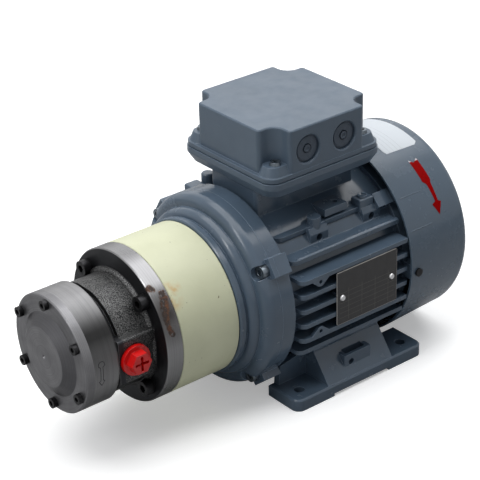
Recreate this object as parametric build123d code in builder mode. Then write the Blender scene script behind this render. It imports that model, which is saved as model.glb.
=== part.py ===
from build123d import *
import os
from math import cos, radians, sin, sqrt

os.makedirs("parts", exist_ok=True)

# Rotary vane pump flanged through a lantern to a foot-mounted motor.
# The shaft line runs along X: the pump is at the -X end, the fan at the +X end.
# The origin is the centre of the four foot holes, on the face that stands on the floor.

# Driving dimensions of the mounting
shaft_height = 71.0
foot_hole_pitch_x = 90.0
foot_hole_pitch_y = 112.0
foot_hole_bore = 7.0
flange_to_foot_hole = 43.3

# Lengths along the shaft line
lantern_length = 44.0
pump_flange_thick = 11.5
neck_length = 23.0
groove_width = 4.0
cylinder_length = 18.0
cover_thick = 6.0
boss_height = 5.0
shield_length = 23.5
frame_length = 107.8
cowl_lap = 1.3
cowl_length = 55.0

# Pump outside
cylinder_radius = 39.0
neck_radius = 36.5
groove_radius = 33.0
pump_flange_radius = 51.0
boss_base_radius = 27.7
boss_top_radius = 20.0
port_pad_reach = 38.5
port_pad_half_height = 15.4
spigot_radius = 35.0
spigot_length = 2.5
small_chamfer = 0.8

# Pump inside
chamber_radius = 28.5
port_plate_thick = 3.0
cam_ring_length = 14.0
cam_bore_radius = 23.2
cam_offset = 2.4
rotor_gap = 0.1
face_gap = 0.05
running_gap = 0.05
seat_gap = 0.05
pass_gap = 0.3
pump_shaft_radius = 6.0
vane_count = 4
vane_thick = 3.0
vane_height = 9.6
vane_slot_root = 10.0
bush_wall = 2.0
front_bush_length = 8.0
rear_bush_length = 10.0
lip_seal_radius = 12.5
lip_seal_width = 7.0
pump_bearing_radius = 14.0
pump_bearing_width = 8.0
bearing_circlip_thick = 1.0
coupling_recess_radius = 21.5
coupling_recess_depth = 10.7
port_bore_radius = 7.6
port_from_flange = 16.0
port_depth_radius = 16.0
kidney_radius = 19.0
kidney_width = 5.0
kidney_length = 15.0

# Screws
cover_screw_count = 6
cover_screw_circle = 34.6
cover_screw_radius = 2.0
cover_screw_length = 14.0
flange_screw_circle = 42.5
flange_screw_radius = 3.0
flange_screw_length = 70.0
cap_head_ratio = 1.7
cover_head_height = 3.0
tapped_extra = 3.0

# Coupling
coupling_radius = 20.0
hub_length = 11.0
jaw_length = 11.5
jaw_count = 3
jaw_inner_radius = 8.5
jaw_half_angle = 17.0
jaw_gap_angle = 0.6
jaw_end_gap = 0.5
spider_end_gap = 0.25
spider_bore_radius = 5.0

# Motor
motor_shaft_radius = 7.0
motor_shaft_reach = 30.0
motor_bearing_bore = 7.5
motor_bearing_radius = 17.5
motor_bearing_width = 11.0
drive_bearing_inset = 7.0
core_shaft_radius = 10.0
fan_shaft_radius = 6.0
core_length = 60.0
core_bore_radius = 30.0
air_gap = 0.5
end_ring_length = 8.0
end_turn_length = 13.0
end_turn_inner = 34.0
end_turn_gap = 4.0
body_radius = 57.0
frame_wall = 5.0
shield_flange_radius = 52.5
shield_flange_thick = 4.0
shield_rise = 8.0
shield_wall = 10.0
spigot_wall = 3.0
lug_rise = 12.5
lug_width = 13.0
lug_angle = 32.0
lower_lug_angle = 50.0
front_ring_length = 10.0
motor_screw_radius = 2.5
rear_shield_thick = 6.0
rear_screw_inset = 4.5
rear_lug_length = 12.0
rear_lug_width = 10.0
drive_seal_radius = 13.0
drive_seal_width = 6.0
flange_tap_depth = 18.0
shield_lug_length = 3.5
frame_lug_length = 10.0
lug_screw_inset = 7.0
shield_screw_length = 12.0

# Fins of the motor frame: level above the shaft in fin pitches, and how far each stands out past the body
fin_pitch = 10.5
fin_thick = 3.0
fin_rise = {-3: 5.0, -2: 9.0, -1: 9.0, 0: 9.0, 1: 9.0, 2: 9.0, 3: 0.0, 4: -15.0}
fin_start = 15.0
fin_corner = 5.0
bead_level = 3
bead_radius = 2.0
fin_cowl_gap = 1.0
under_fin_pitch = 11.0
under_fin_count = 2
under_fin_rise = 7.0

# Blocks, bosses and pads of the motor frame
block_places = (-18.0, 27.0)
block_length = 15.0
block_inner = 30.0
block_outer = 46.0
block_height = 14.0
block_sink = 14.0
block_corner = 4.0
boss_radius = 4.5
boss_side = 40.5
boss_sink = 8.0
pad_middle = 0.5
pad_length = 19.0
pad_inner = 25.0
pad_outer = 41.0
pad_sink = 7.0
pad_thick = 5.0
pad_web = 6.0
hang_lug_places = ((2, -34.5, -1), (2, 15.0, -1), (-2, -34.5, 1))
hang_lug_half = 9.0
hang_lug_drop = 6.2
hang_lug_thick = 2.5

# Fan and cowl
cowl_screw_inset = 5.8
cowl_screw_angles = (-3, 90, 183)
cowl_screw_radius = 1.5
cowl_screw_length = 8.0
cowl_head_height = 1.4
ear_width = 11.0
rear_lug_rise = 7.0
rear_lug_gap = 4.3
rear_lip_thick = 1.5
rear_screw_length = 14.0
wave_spring_thick = 1.2
fan_start = 16.0
fan_hub_length = 20.0
fan_circlip_thick = 1.0
fan_blade_thick = 2.0
end_ring_fins = 8
end_ring_fin_length = 5.0
slot_rings = ((22.0, 12), (40.0, 24))
slot_length = 14.0
slot_width = 3.6
cowl_taper = 2.0
cowl_wall = 1.5
cowl_edge_radius = 6.0
fan_tip_gap = 9.3
fan_hub_radius = 12.0
fan_blades = 8
fan_width = 16.0
fan_disc_thick = 2.0

# Feet
foot_length = 112.0
foot_width = 29.5
foot_tuck = 19.0
foot_plate = 8.5
foot_relief = 2.0
pedestal_half_length = 28.3
pedestal_rise = 14.0
pedestal_lip_width = 13.5
foot_pad_height = 18.0
foot_corner = 6.0
foot_wall_thick = 5.0
foot_wall_low_drop = 6.0
foot_wall_drop = 2.0
foot_wall_rear = 34.0
foot_screw_grip = 14.0
nut_block_middle = 0.8
nut_block_length = 23.0
nut_block_width = 24.0
nut_block_drop = 5.7
nut_slot_length = 17.0
nut_slot_width = 4.5
nut_slot_step = 2.5
nut_wall = 2.5
nut_hole_shift = -5.4
nut_hole_sink = 0.35
nut_hole_radius = 2.2
foot_screw_radius = 3.0
foot_screw_x = 18.0
foot_screw_inset = 7.0
foot_screw_bite = 11.0

# Rating plate
plate_length = 52.0
plate_height = 38.0
plate_thick = 0.8
plate_middle_x = 4.5
rivet_radius = 1.2
rivet_boss_width = 6.0
rivet_boss_depth = 6.0
rivet_inset = 4.6

# Terminal box
box_centre_x = -9.5
tower_length = 82.0
tower_width = 46.0
tower_rise = 14.0
tower_wall = 4.0
tower_floor_rise = 1.0
lead_hole_radius = 8.0
lead_hole_shift = -12.0
gasket_thick = 1.5
lid_gasket_thick = 0.6
lid_gasket_inset = 2.0
base_length = 94.0
base_width = 90.0
base_height = 10.0
base_corner = 9.0
lid_inset_x = 3.0
lid_inset_y = 0.7
lid_height = 31.8
lid_wall = 3.0
notch_x = 13.5
notch_y = 14.0
lid_skirt = 3.0
lug_height = 9.0
lug_base_radius = 11.3
lug_taper = 22.0
notch_fillet = 8.0
notch_mouth = 2.5
entry_pitch = 30.0
entry_shift = -0.6
entry_drop = 15.9
entry_radius = 9.3
entry_lip = 0.8
plug_setback = 2.2
entry_step_radius = 7.8
entry_step_height = 0.6
base_draft = 3.0
base_floor = 3.0
base_rim_x = 13.0
base_rim_y = 12.0
lead_opening_length = 60.0
lead_opening_width = 30.0
lid_screw_radius = 2.0
lid_head_height = 2.2
terminal_block_length = 50.0
terminal_block_width = 34.0
block_base_height = 9.0
stud_pitch = 15.0
stud_row_gap = 18.0
stud_radius = 2.0
link_thick = 1.2
earth_from_rim = 6.0
earth_screw_radius = 2.0

# Stations along X, worked out from the lengths
x_motor_flange = -foot_hole_pitch_x / 2 - flange_to_foot_hole
x_lantern_front = x_motor_flange - lantern_length
x_flange_front = x_lantern_front - pump_flange_thick
x_groove_rear = x_flange_front - neck_length
x_cylinder_rear = x_groove_rear - groove_width
x_body_front = x_cylinder_rear - cylinder_length
x_cover_front = x_body_front - cover_thick
x_boss_front = x_cover_front - boss_height
x_frame_front = x_motor_flange + shield_length
x_frame_rear = x_frame_front + frame_length
x_cowl_front = x_frame_rear - cowl_lap
x_cowl_rear = x_cowl_front + cowl_length
x_fan_front = x_frame_rear + fan_start

# Radii and widths worked out from the radius of the motor body
bore_radius = body_radius - frame_wall
end_turn_outer = bore_radius - end_turn_gap
shield_radius = body_radius + shield_rise
lug_radius = body_radius + lug_rise
lug_circle = lug_radius - lug_screw_inset
fin_reach = {level: body_radius + rise for level, rise in fin_rise.items()}
under_fin_depth = body_radius + under_fin_rise
rear_lug_reach = body_radius + rear_lug_rise
rear_screw_circle = rear_lug_reach - rear_screw_inset
cowl_front_radius = rear_lug_reach + rear_lug_gap + cowl_wall
cowl_rear_radius = cowl_front_radius - cowl_taper
fan_radius = cowl_rear_radius - cowl_wall - fan_tip_gap
foot_inner = body_radius - foot_tuck
foot_outer = foot_inner + foot_width
pedestal_lip = foot_inner + pedestal_lip_width
nut_block_reach = foot_inner + nut_block_width
foot_screw_y = foot_inner + foot_screw_inset

# Heights worked out from the height of the shaft line and the radius of the motor body
body_top = shaft_height + body_radius
pedestal_top = shaft_height - body_radius + pedestal_rise
foot_screw_tip = pedestal_top + foot_screw_bite
foot_head_seat = pedestal_top - foot_screw_grip
foot_wall_high = pedestal_top - foot_wall_drop
foot_wall_low = pedestal_top - foot_wall_low_drop
nut_block_height = pedestal_top - nut_block_drop
nut_slot_floor = foot_plate + nut_slot_step
nut_hole_height = (nut_slot_floor + nut_block_height) / 2 - nut_hole_sink
block_high = body_top - block_sink
block_low = block_high - block_height
block_hole_height = (block_low + block_high) / 2
boss_top = body_top - boss_sink
pad_top = body_top - pad_sink
tower_top = body_top + tower_rise
tower_floor = body_top + tower_floor_rise

# Sizes of the lid and of the hollow under it, worked out from the base of the terminal box
lid_length = base_length - 2 * lid_inset_x
lid_width = base_width - 2 * lid_inset_y
cavity_length = base_length - 2 * base_rim_x
cavity_width = base_width - 2 * base_rim_y
earth_x = cavity_length / 2 - earth_from_rim
earth_y = earth_from_rim - cavity_width / 2

shaft_axis = Axis((0, 0, shaft_height), (1, 0, 0))
# Side view of the shaft line: local x runs along X, local y is the radius above the shaft
shaft_plane = Plane(origin=(0, 0, shaft_height), x_dir=(1, 0, 0), z_dir=(0, -1, 0))


def station(x):
    """Plane across the shaft line: local x is +Y, local y is +Z, and its normal is +X."""
    return Plane(origin=(x, 0, shaft_height), x_dir=(0, 1, 0), z_dir=(1, 0, 0))


def ring(x_front, x_rear, outer, inner=0.0, mode=Mode.ADD):
    """Round ring or disc about the shaft line."""
    with BuildSketch(station(x_front)) as section:
        Circle(outer)
        if inner > 0:
            Circle(inner, mode=Mode.SUBTRACT)
    extrude(section.sketch, amount=x_rear - x_front, mode=mode)


def pins(x_front, x_rear, circle, count, start, radius, mode=Mode.ADD):
    """Round bars or holes along X, spread evenly on a circle about the shaft line."""
    with BuildSketch(station(x_front)) as section:
        with PolarLocations(circle, count, start_angle=start):
            Circle(radius)
    extrude(section.sketch, amount=x_rear - x_front, mode=mode)


def turned(points):
    """Solid of revolution about the shaft line from (x, radius) points on its outline."""
    with BuildSketch(shaft_plane) as outline:
        with BuildLine():
            Polyline(*points, close=True)
        make_face()
    revolve(outline.sketch, axis=shaft_axis)


def cap_screws(x_seat, circle, count, start, radius, length, head_height):
    """Socket head cap screws driven in the +X direction, their heads seated at x_seat."""
    head_radius = radius * cap_head_ratio
    pins(x_seat - head_height, x_seat, circle, count, start, head_radius)
    pins(x_seat, x_seat + length, circle, count, start, radius)
    with BuildSketch(station(x_seat - head_height)) as socket:
        with PolarLocations(circle, count, start_angle=start):
            RegularPolygon(radius * 0.92, 6)
    extrude(socket.sketch, amount=head_height / 2, mode=Mode.SUBTRACT)


def radial_hole(angle, x, radius, inner, outer):
    """Hole drilled towards the shaft line at an angle above the +Y side."""
    direction = (0, cos(radians(angle)), sin(radians(angle)))
    start = Plane(origin=(x, inner * direction[1], shaft_height + inner * direction[2]), z_dir=direction)
    with BuildSketch(start) as section:
        Circle(radius)
    extrude(section.sketch, amount=outer - inner, mode=Mode.SUBTRACT)


def cowl_inner_radius(along):
    """Inner radius of the drafted cowl wall at a distance behind its front edge."""
    draft = (cowl_front_radius - cowl_rear_radius) / (cowl_length - cowl_edge_radius)
    return cowl_front_radius - cowl_wall - draft * along


def finish(piece, name):
    """Label the piece and write it as its own file."""
    piece.part.label = name
    export_step(piece.part, "parts/" + name + ".step")


# Pump cover: turned plate with a raised conical boss that holds the front bush
bush_radius = pump_shaft_radius + bush_wall
x_front_bush = x_body_front - front_bush_length
seal_groove_inner = chamber_radius + 0.6
seal_groove_outer = seal_groove_inner + 1.6
seal_groove_depth = 1.2
with BuildPart() as pump_cover:
    turned([
        (x_body_front, 0),
        (x_body_front, cylinder_radius),
        (x_cover_front + small_chamfer, cylinder_radius),
        (x_cover_front, cylinder_radius - small_chamfer),
        (x_cover_front, boss_base_radius),
        (x_boss_front, boss_top_radius),
        (x_boss_front, 0),
    ])
    ring(x_front_bush, x_body_front, bush_radius, mode=Mode.SUBTRACT)
    ring(x_body_front - seal_groove_depth, x_body_front, seal_groove_outer, seal_groove_inner,
         mode=Mode.SUBTRACT)
    pins(x_cover_front, x_body_front, cover_screw_circle, cover_screw_count, 30,
         cover_screw_radius + seat_gap, mode=Mode.SUBTRACT)
    with Locations(Plane(origin=(x_boss_front, 0, shaft_height), z_dir=(-1, 0, 0))):
        CounterSinkHole(0.6, 1.5, depth=1.6)
finish(pump_cover, "pump_cover")

with BuildPart() as cover_seal:
    ring(x_body_front - seal_groove_depth, x_body_front, seal_groove_outer, seal_groove_inner)
finish(cover_seal, "cover_seal")

with BuildPart() as cover_screws:
    cap_screws(x_cover_front, cover_screw_circle, cover_screw_count, 30, cover_screw_radius,
               cover_screw_length, cover_head_height)
finish(cover_screws, "cover_screws")

# Pump body: one casting with the machined cylinder, the cast neck with its port pads, and the flange
chamber_depth = cam_ring_length + port_plate_thick
x_chamber_floor = x_body_front + chamber_depth
x_rear_bush = x_chamber_floor + rear_bush_length
x_recess_floor = x_lantern_front - coupling_recess_depth
x_circlip = x_recess_floor - bearing_circlip_thick - 0.5
x_bearing_front = x_circlip - pump_bearing_width
x_seal_front = x_bearing_front - lip_seal_width
x_port = x_flange_front - port_from_flange
neck_fillet = 3.0
with BuildPart() as pump_body:
    with BuildSketch(shaft_plane) as body_outline:
        with BuildLine():
            Polyline(
                (x_lantern_front + spigot_length, 0),
                (x_lantern_front + spigot_length, spigot_radius - small_chamfer),
                (x_lantern_front + spigot_length - small_chamfer, spigot_radius),
                (x_lantern_front, spigot_radius),
                (x_lantern_front, pump_flange_radius),
                (x_flange_front + small_chamfer, pump_flange_radius),
                (x_flange_front, pump_flange_radius - small_chamfer),
                (x_flange_front, neck_radius + neck_fillet),
            )
            RadiusArc((x_flange_front, neck_radius + neck_fillet),
                      (x_flange_front - neck_fillet, neck_radius), -neck_fillet)
            Polyline(
                (x_flange_front - neck_fillet, neck_radius),
                (x_groove_rear, neck_radius),
                (x_groove_rear, groove_radius),
                (x_cylinder_rear, groove_radius),
                (x_cylinder_rear, cylinder_radius - small_chamfer),
                (x_cylinder_rear - small_chamfer, cylinder_radius),
                (x_body_front, cylinder_radius),
                (x_body_front, 0),
                (x_lantern_front + spigot_length, 0),
            )
        make_face()
    revolve(axis=shaft_axis)
    # Port pads, one on each side of the neck
    with BuildSketch(station(x_cylinder_rear)):
        RectangleRounded(2 * port_pad_reach, 2 * port_pad_half_height, 1.5)
    extrude(amount=groove_width + neck_length)
    # Flat on top of the neck, where the casting is clamped for machining
    with BuildSketch(station(x_groove_rear)):
        with Locations((0, neck_radius)):
            Rectangle(2 * neck_radius * sin(radians(11)), 2 * neck_radius * (1 - cos(radians(11))))
    extrude(amount=neck_length - 2 * neck_fillet, mode=Mode.SUBTRACT)
    ring(x_body_front, x_chamber_floor, chamber_radius, mode=Mode.SUBTRACT)
    ring(x_chamber_floor, x_rear_bush, bush_radius, mode=Mode.SUBTRACT)
    ring(x_rear_bush, x_seal_front, pump_shaft_radius + pass_gap, mode=Mode.SUBTRACT)
    ring(x_seal_front, x_bearing_front, lip_seal_radius, mode=Mode.SUBTRACT)
    ring(x_bearing_front, x_recess_floor, pump_bearing_radius, mode=Mode.SUBTRACT)
    ring(x_circlip, x_circlip + bearing_circlip_thick, pump_bearing_radius + 0.8, mode=Mode.SUBTRACT)
    ring(x_recess_floor, x_lantern_front + spigot_length, coupling_recess_radius, mode=Mode.SUBTRACT)
    # Suction port and discharge port, drilled in from the pads, and the channels to the chamber
    for side in (-1, 1):
        port_plane = Plane(origin=(x_port, side * port_pad_reach, shaft_height), z_dir=(0, side, 0))
        with BuildSketch(port_plane):
            Circle(port_bore_radius)
        extrude(amount=-(port_pad_reach - port_depth_radius), mode=Mode.SUBTRACT)
        with BuildSketch(port_plane):
            Circle(port_bore_radius + 3.4)
        extrude(amount=-0.5, mode=Mode.SUBTRACT)
        with BuildSketch(station(x_chamber_floor)):
            with Locations((side * kidney_radius, 0)):
                SlotOverall(kidney_length, kidney_width, rotation=90)
        extrude(amount=x_port - x_chamber_floor, mode=Mode.SUBTRACT)
    pins(x_body_front, x_body_front + cover_screw_length - cover_thick + tapped_extra,
         cover_screw_circle, cover_screw_count, 30, cover_screw_radius + seat_gap, mode=Mode.SUBTRACT)
    pins(x_flange_front, x_lantern_front, flange_screw_circle, 4, 45, flange_screw_radius + pass_gap,
         mode=Mode.SUBTRACT)
    pins(x_flange_front - 2 * neck_fillet, x_flange_front, flange_screw_circle, 4, 45,
         flange_screw_radius * cap_head_ratio + pass_gap, mode=Mode.SUBTRACT)
finish(pump_body, "pump_body")

# Cam ring: its bore is set off the shaft line, so the space between the vanes grows and shrinks
x_cam_rear = x_body_front + cam_ring_length
with BuildPart() as cam_ring:
    with BuildSketch(station(x_body_front)):
        Circle(chamber_radius - seat_gap)
        with Locations((0, cam_offset)):
            Circle(cam_bore_radius, mode=Mode.SUBTRACT)
    extrude(amount=cam_ring_length)
finish(cam_ring, "cam_ring")

# Port plate: closes the rear of the pumping chamber and lets the two channels through
with BuildPart() as port_plate:
    with BuildSketch(station(x_cam_rear)):
        Circle(chamber_radius - seat_gap)
        Circle(pump_shaft_radius + pass_gap, mode=Mode.SUBTRACT)
        with Locations((kidney_radius, 0), (-kidney_radius, 0)):
            SlotOverall(kidney_length, kidney_width, rotation=90, mode=Mode.SUBTRACT)
    extrude(amount=port_plate_thick)
finish(port_plate, "port_plate")

with BuildPart() as pump_bushes:
    ring(x_front_bush, x_body_front, bush_radius - seat_gap, pump_shaft_radius + running_gap)
    ring(x_chamber_floor, x_rear_bush, bush_radius - seat_gap, pump_shaft_radius + running_gap)
finish(pump_bushes, "pump_bushes")

with BuildPart() as lip_seal:
    ring(x_seal_front, x_bearing_front, lip_seal_radius - seat_gap, pump_shaft_radius + running_gap)
finish(lip_seal, "lip_seal")

# Vane rotor: slotted drum with one radial slot for each vane
rotor_radius = cam_bore_radius - cam_offset - rotor_gap
x_rotor_front = x_body_front + face_gap
rotor_length = cam_ring_length - 2 * face_gap
vane_side_gap = 0.06
pump_key_width = 4.0
pump_key_height = 4.0
pump_key_depth = 2.5
rotor_key_length = rotor_length - 2
key_top = pump_shaft_radius - pump_key_depth + pump_key_height
vane_angles = [45 + 360 / vane_count * index for index in range(vane_count)]


def key_section(plane, top, width, height):
    """Rectangle of a key or keyway above the shaft line."""
    with BuildSketch(plane) as section:
        with Locations((0, top - height / 2)):
            Rectangle(width, height)
    return section.sketch


with BuildPart() as vane_rotor:
    with BuildSketch(station(x_rotor_front)):
        Circle(rotor_radius)
        Circle(pump_shaft_radius, mode=Mode.SUBTRACT)
        for angle in vane_angles:
            middle = (rotor_radius + 1 + vane_slot_root) / 2
            with Locations((middle * cos(radians(angle)), middle * sin(radians(angle)))):
                Rectangle(rotor_radius + 1 - vane_slot_root, vane_thick + 2 * vane_side_gap,
                          rotation=angle, mode=Mode.SUBTRACT)
    extrude(amount=rotor_length)
    extrude(key_section(station(x_rotor_front), key_top, pump_key_width, pump_key_height),
            amount=rotor_length, mode=Mode.SUBTRACT)
finish(vane_rotor, "vane_rotor")

# Vanes: flat blades with a rounded tip, shown dropped to the bottom of their slots
for index, angle in enumerate(vane_angles):
    vane_root = vane_slot_root + seat_gap
    vane_plane = Plane(origin=(x_rotor_front + face_gap, 0, shaft_height),
                       x_dir=(0, cos(radians(angle)), sin(radians(angle))), z_dir=(1, 0, 0))
    with BuildPart() as vane:
        with BuildSketch(vane_plane):
            with BuildLine():
                half = vane_thick / 2
                shoulder = vane_root + vane_height - half / 2
                tip_a = (shoulder, half)
                tip_b = (shoulder, -half)
                ThreePointArc(tip_a, (vane_root + vane_height, 0), tip_b)
                Polyline(tip_b, (vane_root, -half), (vane_root, half), tip_a)
            make_face()
        extrude(amount=rotor_length - 2 * face_gap)
    finish(vane, "vane_" + str(index + 1))

# Pump shaft with a keyway at the rotor and one at the coupling hub
x_motor_shaft_end = x_motor_flange - motor_shaft_reach
x_pump_jaws_front = x_motor_shaft_end - jaw_length - jaw_end_gap
x_pump_shaft_rear = x_pump_jaws_front
x_pump_hub_front = x_pump_jaws_front - hub_length
x_pump_shaft_front = x_front_bush + 0.5
hub_key_length = hub_length - 2
with BuildPart() as pump_shaft:
    turned([
        (x_pump_shaft_front, 0),
        (x_pump_shaft_front, pump_shaft_radius - 0.5),
        (x_pump_shaft_front + 0.5, pump_shaft_radius),
        (x_pump_shaft_rear - 0.5, pump_shaft_radius),
        (x_pump_shaft_rear, pump_shaft_radius - 0.5),
        (x_pump_shaft_rear, 0),
    ])
    extrude(key_section(station(x_rotor_front + 1), key_top, pump_key_width, pump_key_height),
            amount=rotor_key_length, mode=Mode.SUBTRACT)
    extrude(key_section(station(x_pump_hub_front + 1), key_top, pump_key_width, pump_key_height),
            amount=hub_key_length, mode=Mode.SUBTRACT)
finish(pump_shaft, "pump_shaft")

with BuildPart() as pump_keys:
    extrude(key_section(station(x_rotor_front + 1), key_top, pump_key_width, pump_key_height),
            amount=rotor_key_length)
    extrude(key_section(station(x_pump_hub_front + 1), key_top, pump_key_width, pump_key_height),
            amount=hub_key_length)
finish(pump_keys, "pump_keys")


def bearing(x_front, width, outer, inner, name):
    """Shielded ball bearing as an outer race with its shields and an inner race."""
    race = (outer - inner) * 0.3
    with BuildPart() as outer_race:
        ring(x_front, x_front + width, outer, outer - race)
        ring(x_front + 0.5, x_front + 1, outer - race, inner + race + running_gap)
        ring(x_front + width - 1, x_front + width - 0.5, outer - race, inner + race + running_gap)
    finish(outer_race, name + "_outer_race")
    with BuildPart() as inner_race:
        ring(x_front, x_front + width, inner + race, inner)
    finish(inner_race, name + "_inner_race")


bearing(x_bearing_front, pump_bearing_width, pump_bearing_radius, pump_shaft_radius, "pump_bearing")

with BuildPart() as bearing_circlip:
    with BuildSketch(station(x_circlip)):
        Circle(pump_bearing_radius + 0.8)
        Circle(pump_bearing_radius - 1.4, mode=Mode.SUBTRACT)
        with Locations((0, -pump_bearing_radius)):
            Rectangle(7, 6, mode=Mode.SUBTRACT)
    extrude(amount=bearing_circlip_thick)
finish(bearing_circlip, "bearing_circlip")

# Suction plug: moulded transport plug with a collar, a hexagon and a cross slot
plug_collar_radius = 10.0
plug_collar_thick = 3.0
plug_hex_radius = 7.8
plug_hex_height = 5.5
plug_shank_length = 10.0
plug_slot_width = 1.8
plug_slot_length = 10.0
plug_seat = Plane(origin=(x_port, -port_pad_reach + 0.5, shaft_height), x_dir=(1, 0, 0), z_dir=(0, -1, 0))
with BuildPart() as suction_plug:
    with BuildSketch(plug_seat):
        Circle(plug_collar_radius)
    extrude(amount=plug_collar_thick)
    with BuildSketch(plug_seat.offset(plug_collar_thick)):
        RegularPolygon(plug_hex_radius, 6)
    extrude(amount=plug_hex_height, taper=4)
    with BuildSketch(plug_seat.offset(plug_collar_thick + plug_hex_height)):
        Rectangle(plug_slot_length, plug_slot_width)
        Rectangle(plug_slot_width, plug_slot_length)
    extrude(amount=-3, mode=Mode.SUBTRACT)
    with BuildSketch(plug_seat):
        Circle(port_bore_radius - running_gap)
        Circle(port_bore_radius - 2.2, mode=Mode.SUBTRACT)
    extrude(amount=-plug_shank_length)
finish(suction_plug, "suction_plug")

# Lantern: plain ring between pump and motor, with through holes for the long flange screws
with BuildPart() as lantern:
    turned([
        (x_lantern_front, spigot_radius + seat_gap),
        (x_lantern_front, pump_flange_radius - small_chamfer),
        (x_lantern_front + small_chamfer, pump_flange_radius),
        (x_motor_flange - small_chamfer, pump_flange_radius),
        (x_motor_flange, pump_flange_radius - small_chamfer),
        (x_motor_flange, spigot_radius + seat_gap),
    ])
    pins(x_lantern_front, x_motor_flange, flange_screw_circle, 4, 45, flange_screw_radius + pass_gap,
         mode=Mode.SUBTRACT)
finish(lantern, "lantern")

with BuildPart() as flange_screws:
    cap_screws(x_flange_front, flange_screw_circle, 4, 45, flange_screw_radius, flange_screw_length,
               2 * flange_screw_radius)
finish(flange_screws, "flange_screws")

# Coupling: two hubs with three jaws each, and an elastic spider with a leg in every space
x_motor_hub_rear = x_motor_shaft_end + hub_length
motor_key_width = 5.0
motor_key_height = 5.0
motor_key_top = motor_shaft_radius + 2.0
jaw_pitch = 360 / jaw_count
leg_half_angle = jaw_pitch / 4 - jaw_half_angle - jaw_gap_angle / 2


def sectors(x_front, length, count, start, half_angle, inner, outer):
    """Ring sectors about the shaft line, such as the jaws of a hub or the legs of a spider."""
    first = radians(-half_angle)
    last = radians(half_angle)
    with BuildSketch(station(x_front)) as section:
        with PolarLocations(0, count, start_angle=start):
            with BuildSketch(mode=Mode.PRIVATE) as sector:
                with BuildLine():
                    Line((inner * cos(first), inner * sin(first)), (outer * cos(first), outer * sin(first)))
                    ThreePointArc((outer * cos(first), outer * sin(first)), (outer, 0),
                                  (outer * cos(last), outer * sin(last)))
                    Line((outer * cos(last), outer * sin(last)), (inner * cos(last), inner * sin(last)))
                    ThreePointArc((inner * cos(last), inner * sin(last)), (inner, 0),
                                  (inner * cos(first), inner * sin(first)))
                make_face()
            add(sector.sketch)
    extrude(section.sketch, amount=length)


with BuildPart() as pump_hub:
    ring(x_pump_hub_front, x_pump_jaws_front, coupling_radius, pump_shaft_radius)
    extrude(key_section(station(x_pump_hub_front), key_top, pump_key_width, pump_key_height),
            amount=hub_length, mode=Mode.SUBTRACT)
    sectors(x_pump_jaws_front, jaw_length, jaw_count, jaw_pitch / 4, jaw_half_angle, jaw_inner_radius,
            coupling_radius)
finish(pump_hub, "pump_hub")

with BuildPart() as motor_hub:
    ring(x_motor_shaft_end, x_motor_hub_rear, coupling_radius, motor_shaft_radius)
    extrude(key_section(station(x_motor_shaft_end), motor_key_top, motor_key_width, motor_key_height),
            amount=hub_length, mode=Mode.SUBTRACT)
    sectors(x_motor_shaft_end - jaw_length, jaw_length, jaw_count, jaw_pitch * 3 / 4, jaw_half_angle,
            jaw_inner_radius, coupling_radius)
finish(motor_hub, "motor_hub")

x_spider_front = x_pump_jaws_front + jaw_end_gap + spider_end_gap
x_spider_rear = x_motor_shaft_end - jaw_end_gap - spider_end_gap
with BuildPart() as coupling_spider:
    ring(x_spider_front, x_spider_rear, jaw_inner_radius - spider_end_gap, spider_bore_radius)
    sectors(x_spider_front, x_spider_rear - x_spider_front, 2 * jaw_count, 0, leg_half_angle,
            jaw_inner_radius - 1, coupling_radius - 1)
finish(coupling_spider, "coupling_spider")

# Drive end shield: bell-shaped casting with a flange ring, a hollow and a rounded shoulder
x_shield_seat = x_motor_flange + shield_flange_thick
x_drive_bearing = x_motor_flange + drive_bearing_inset
x_hub_inner = x_drive_bearing + motor_bearing_width + 1.0
bearing_hub_wall = 4.5
valley_radius = shield_flange_radius - 1.2
shoulder_fillet = 6.5
valley_fillet = 5.5
frame_spigot_length = 4.0
rear_lug_angles = (45, 135, 225, 315)
lug_angles = (lug_angle, 180 - lug_angle, 180 + lower_lug_angle, -lower_lug_angle)
rivet_places = (plate_middle_x - plate_length / 2 + rivet_inset, plate_middle_x + plate_length / 2 - rivet_inset)


def screw_lug(angle, x_front, length):
    """Lug for a screw at the joint between a shield and the frame."""
    depth = lug_radius - body_radius
    with BuildSketch(station(x_front)) as section:
        with PolarLocations(body_radius + depth / 2, 1, start_angle=angle):
            Rectangle(depth, lug_width)
    extrude(section.sketch, amount=length)


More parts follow.
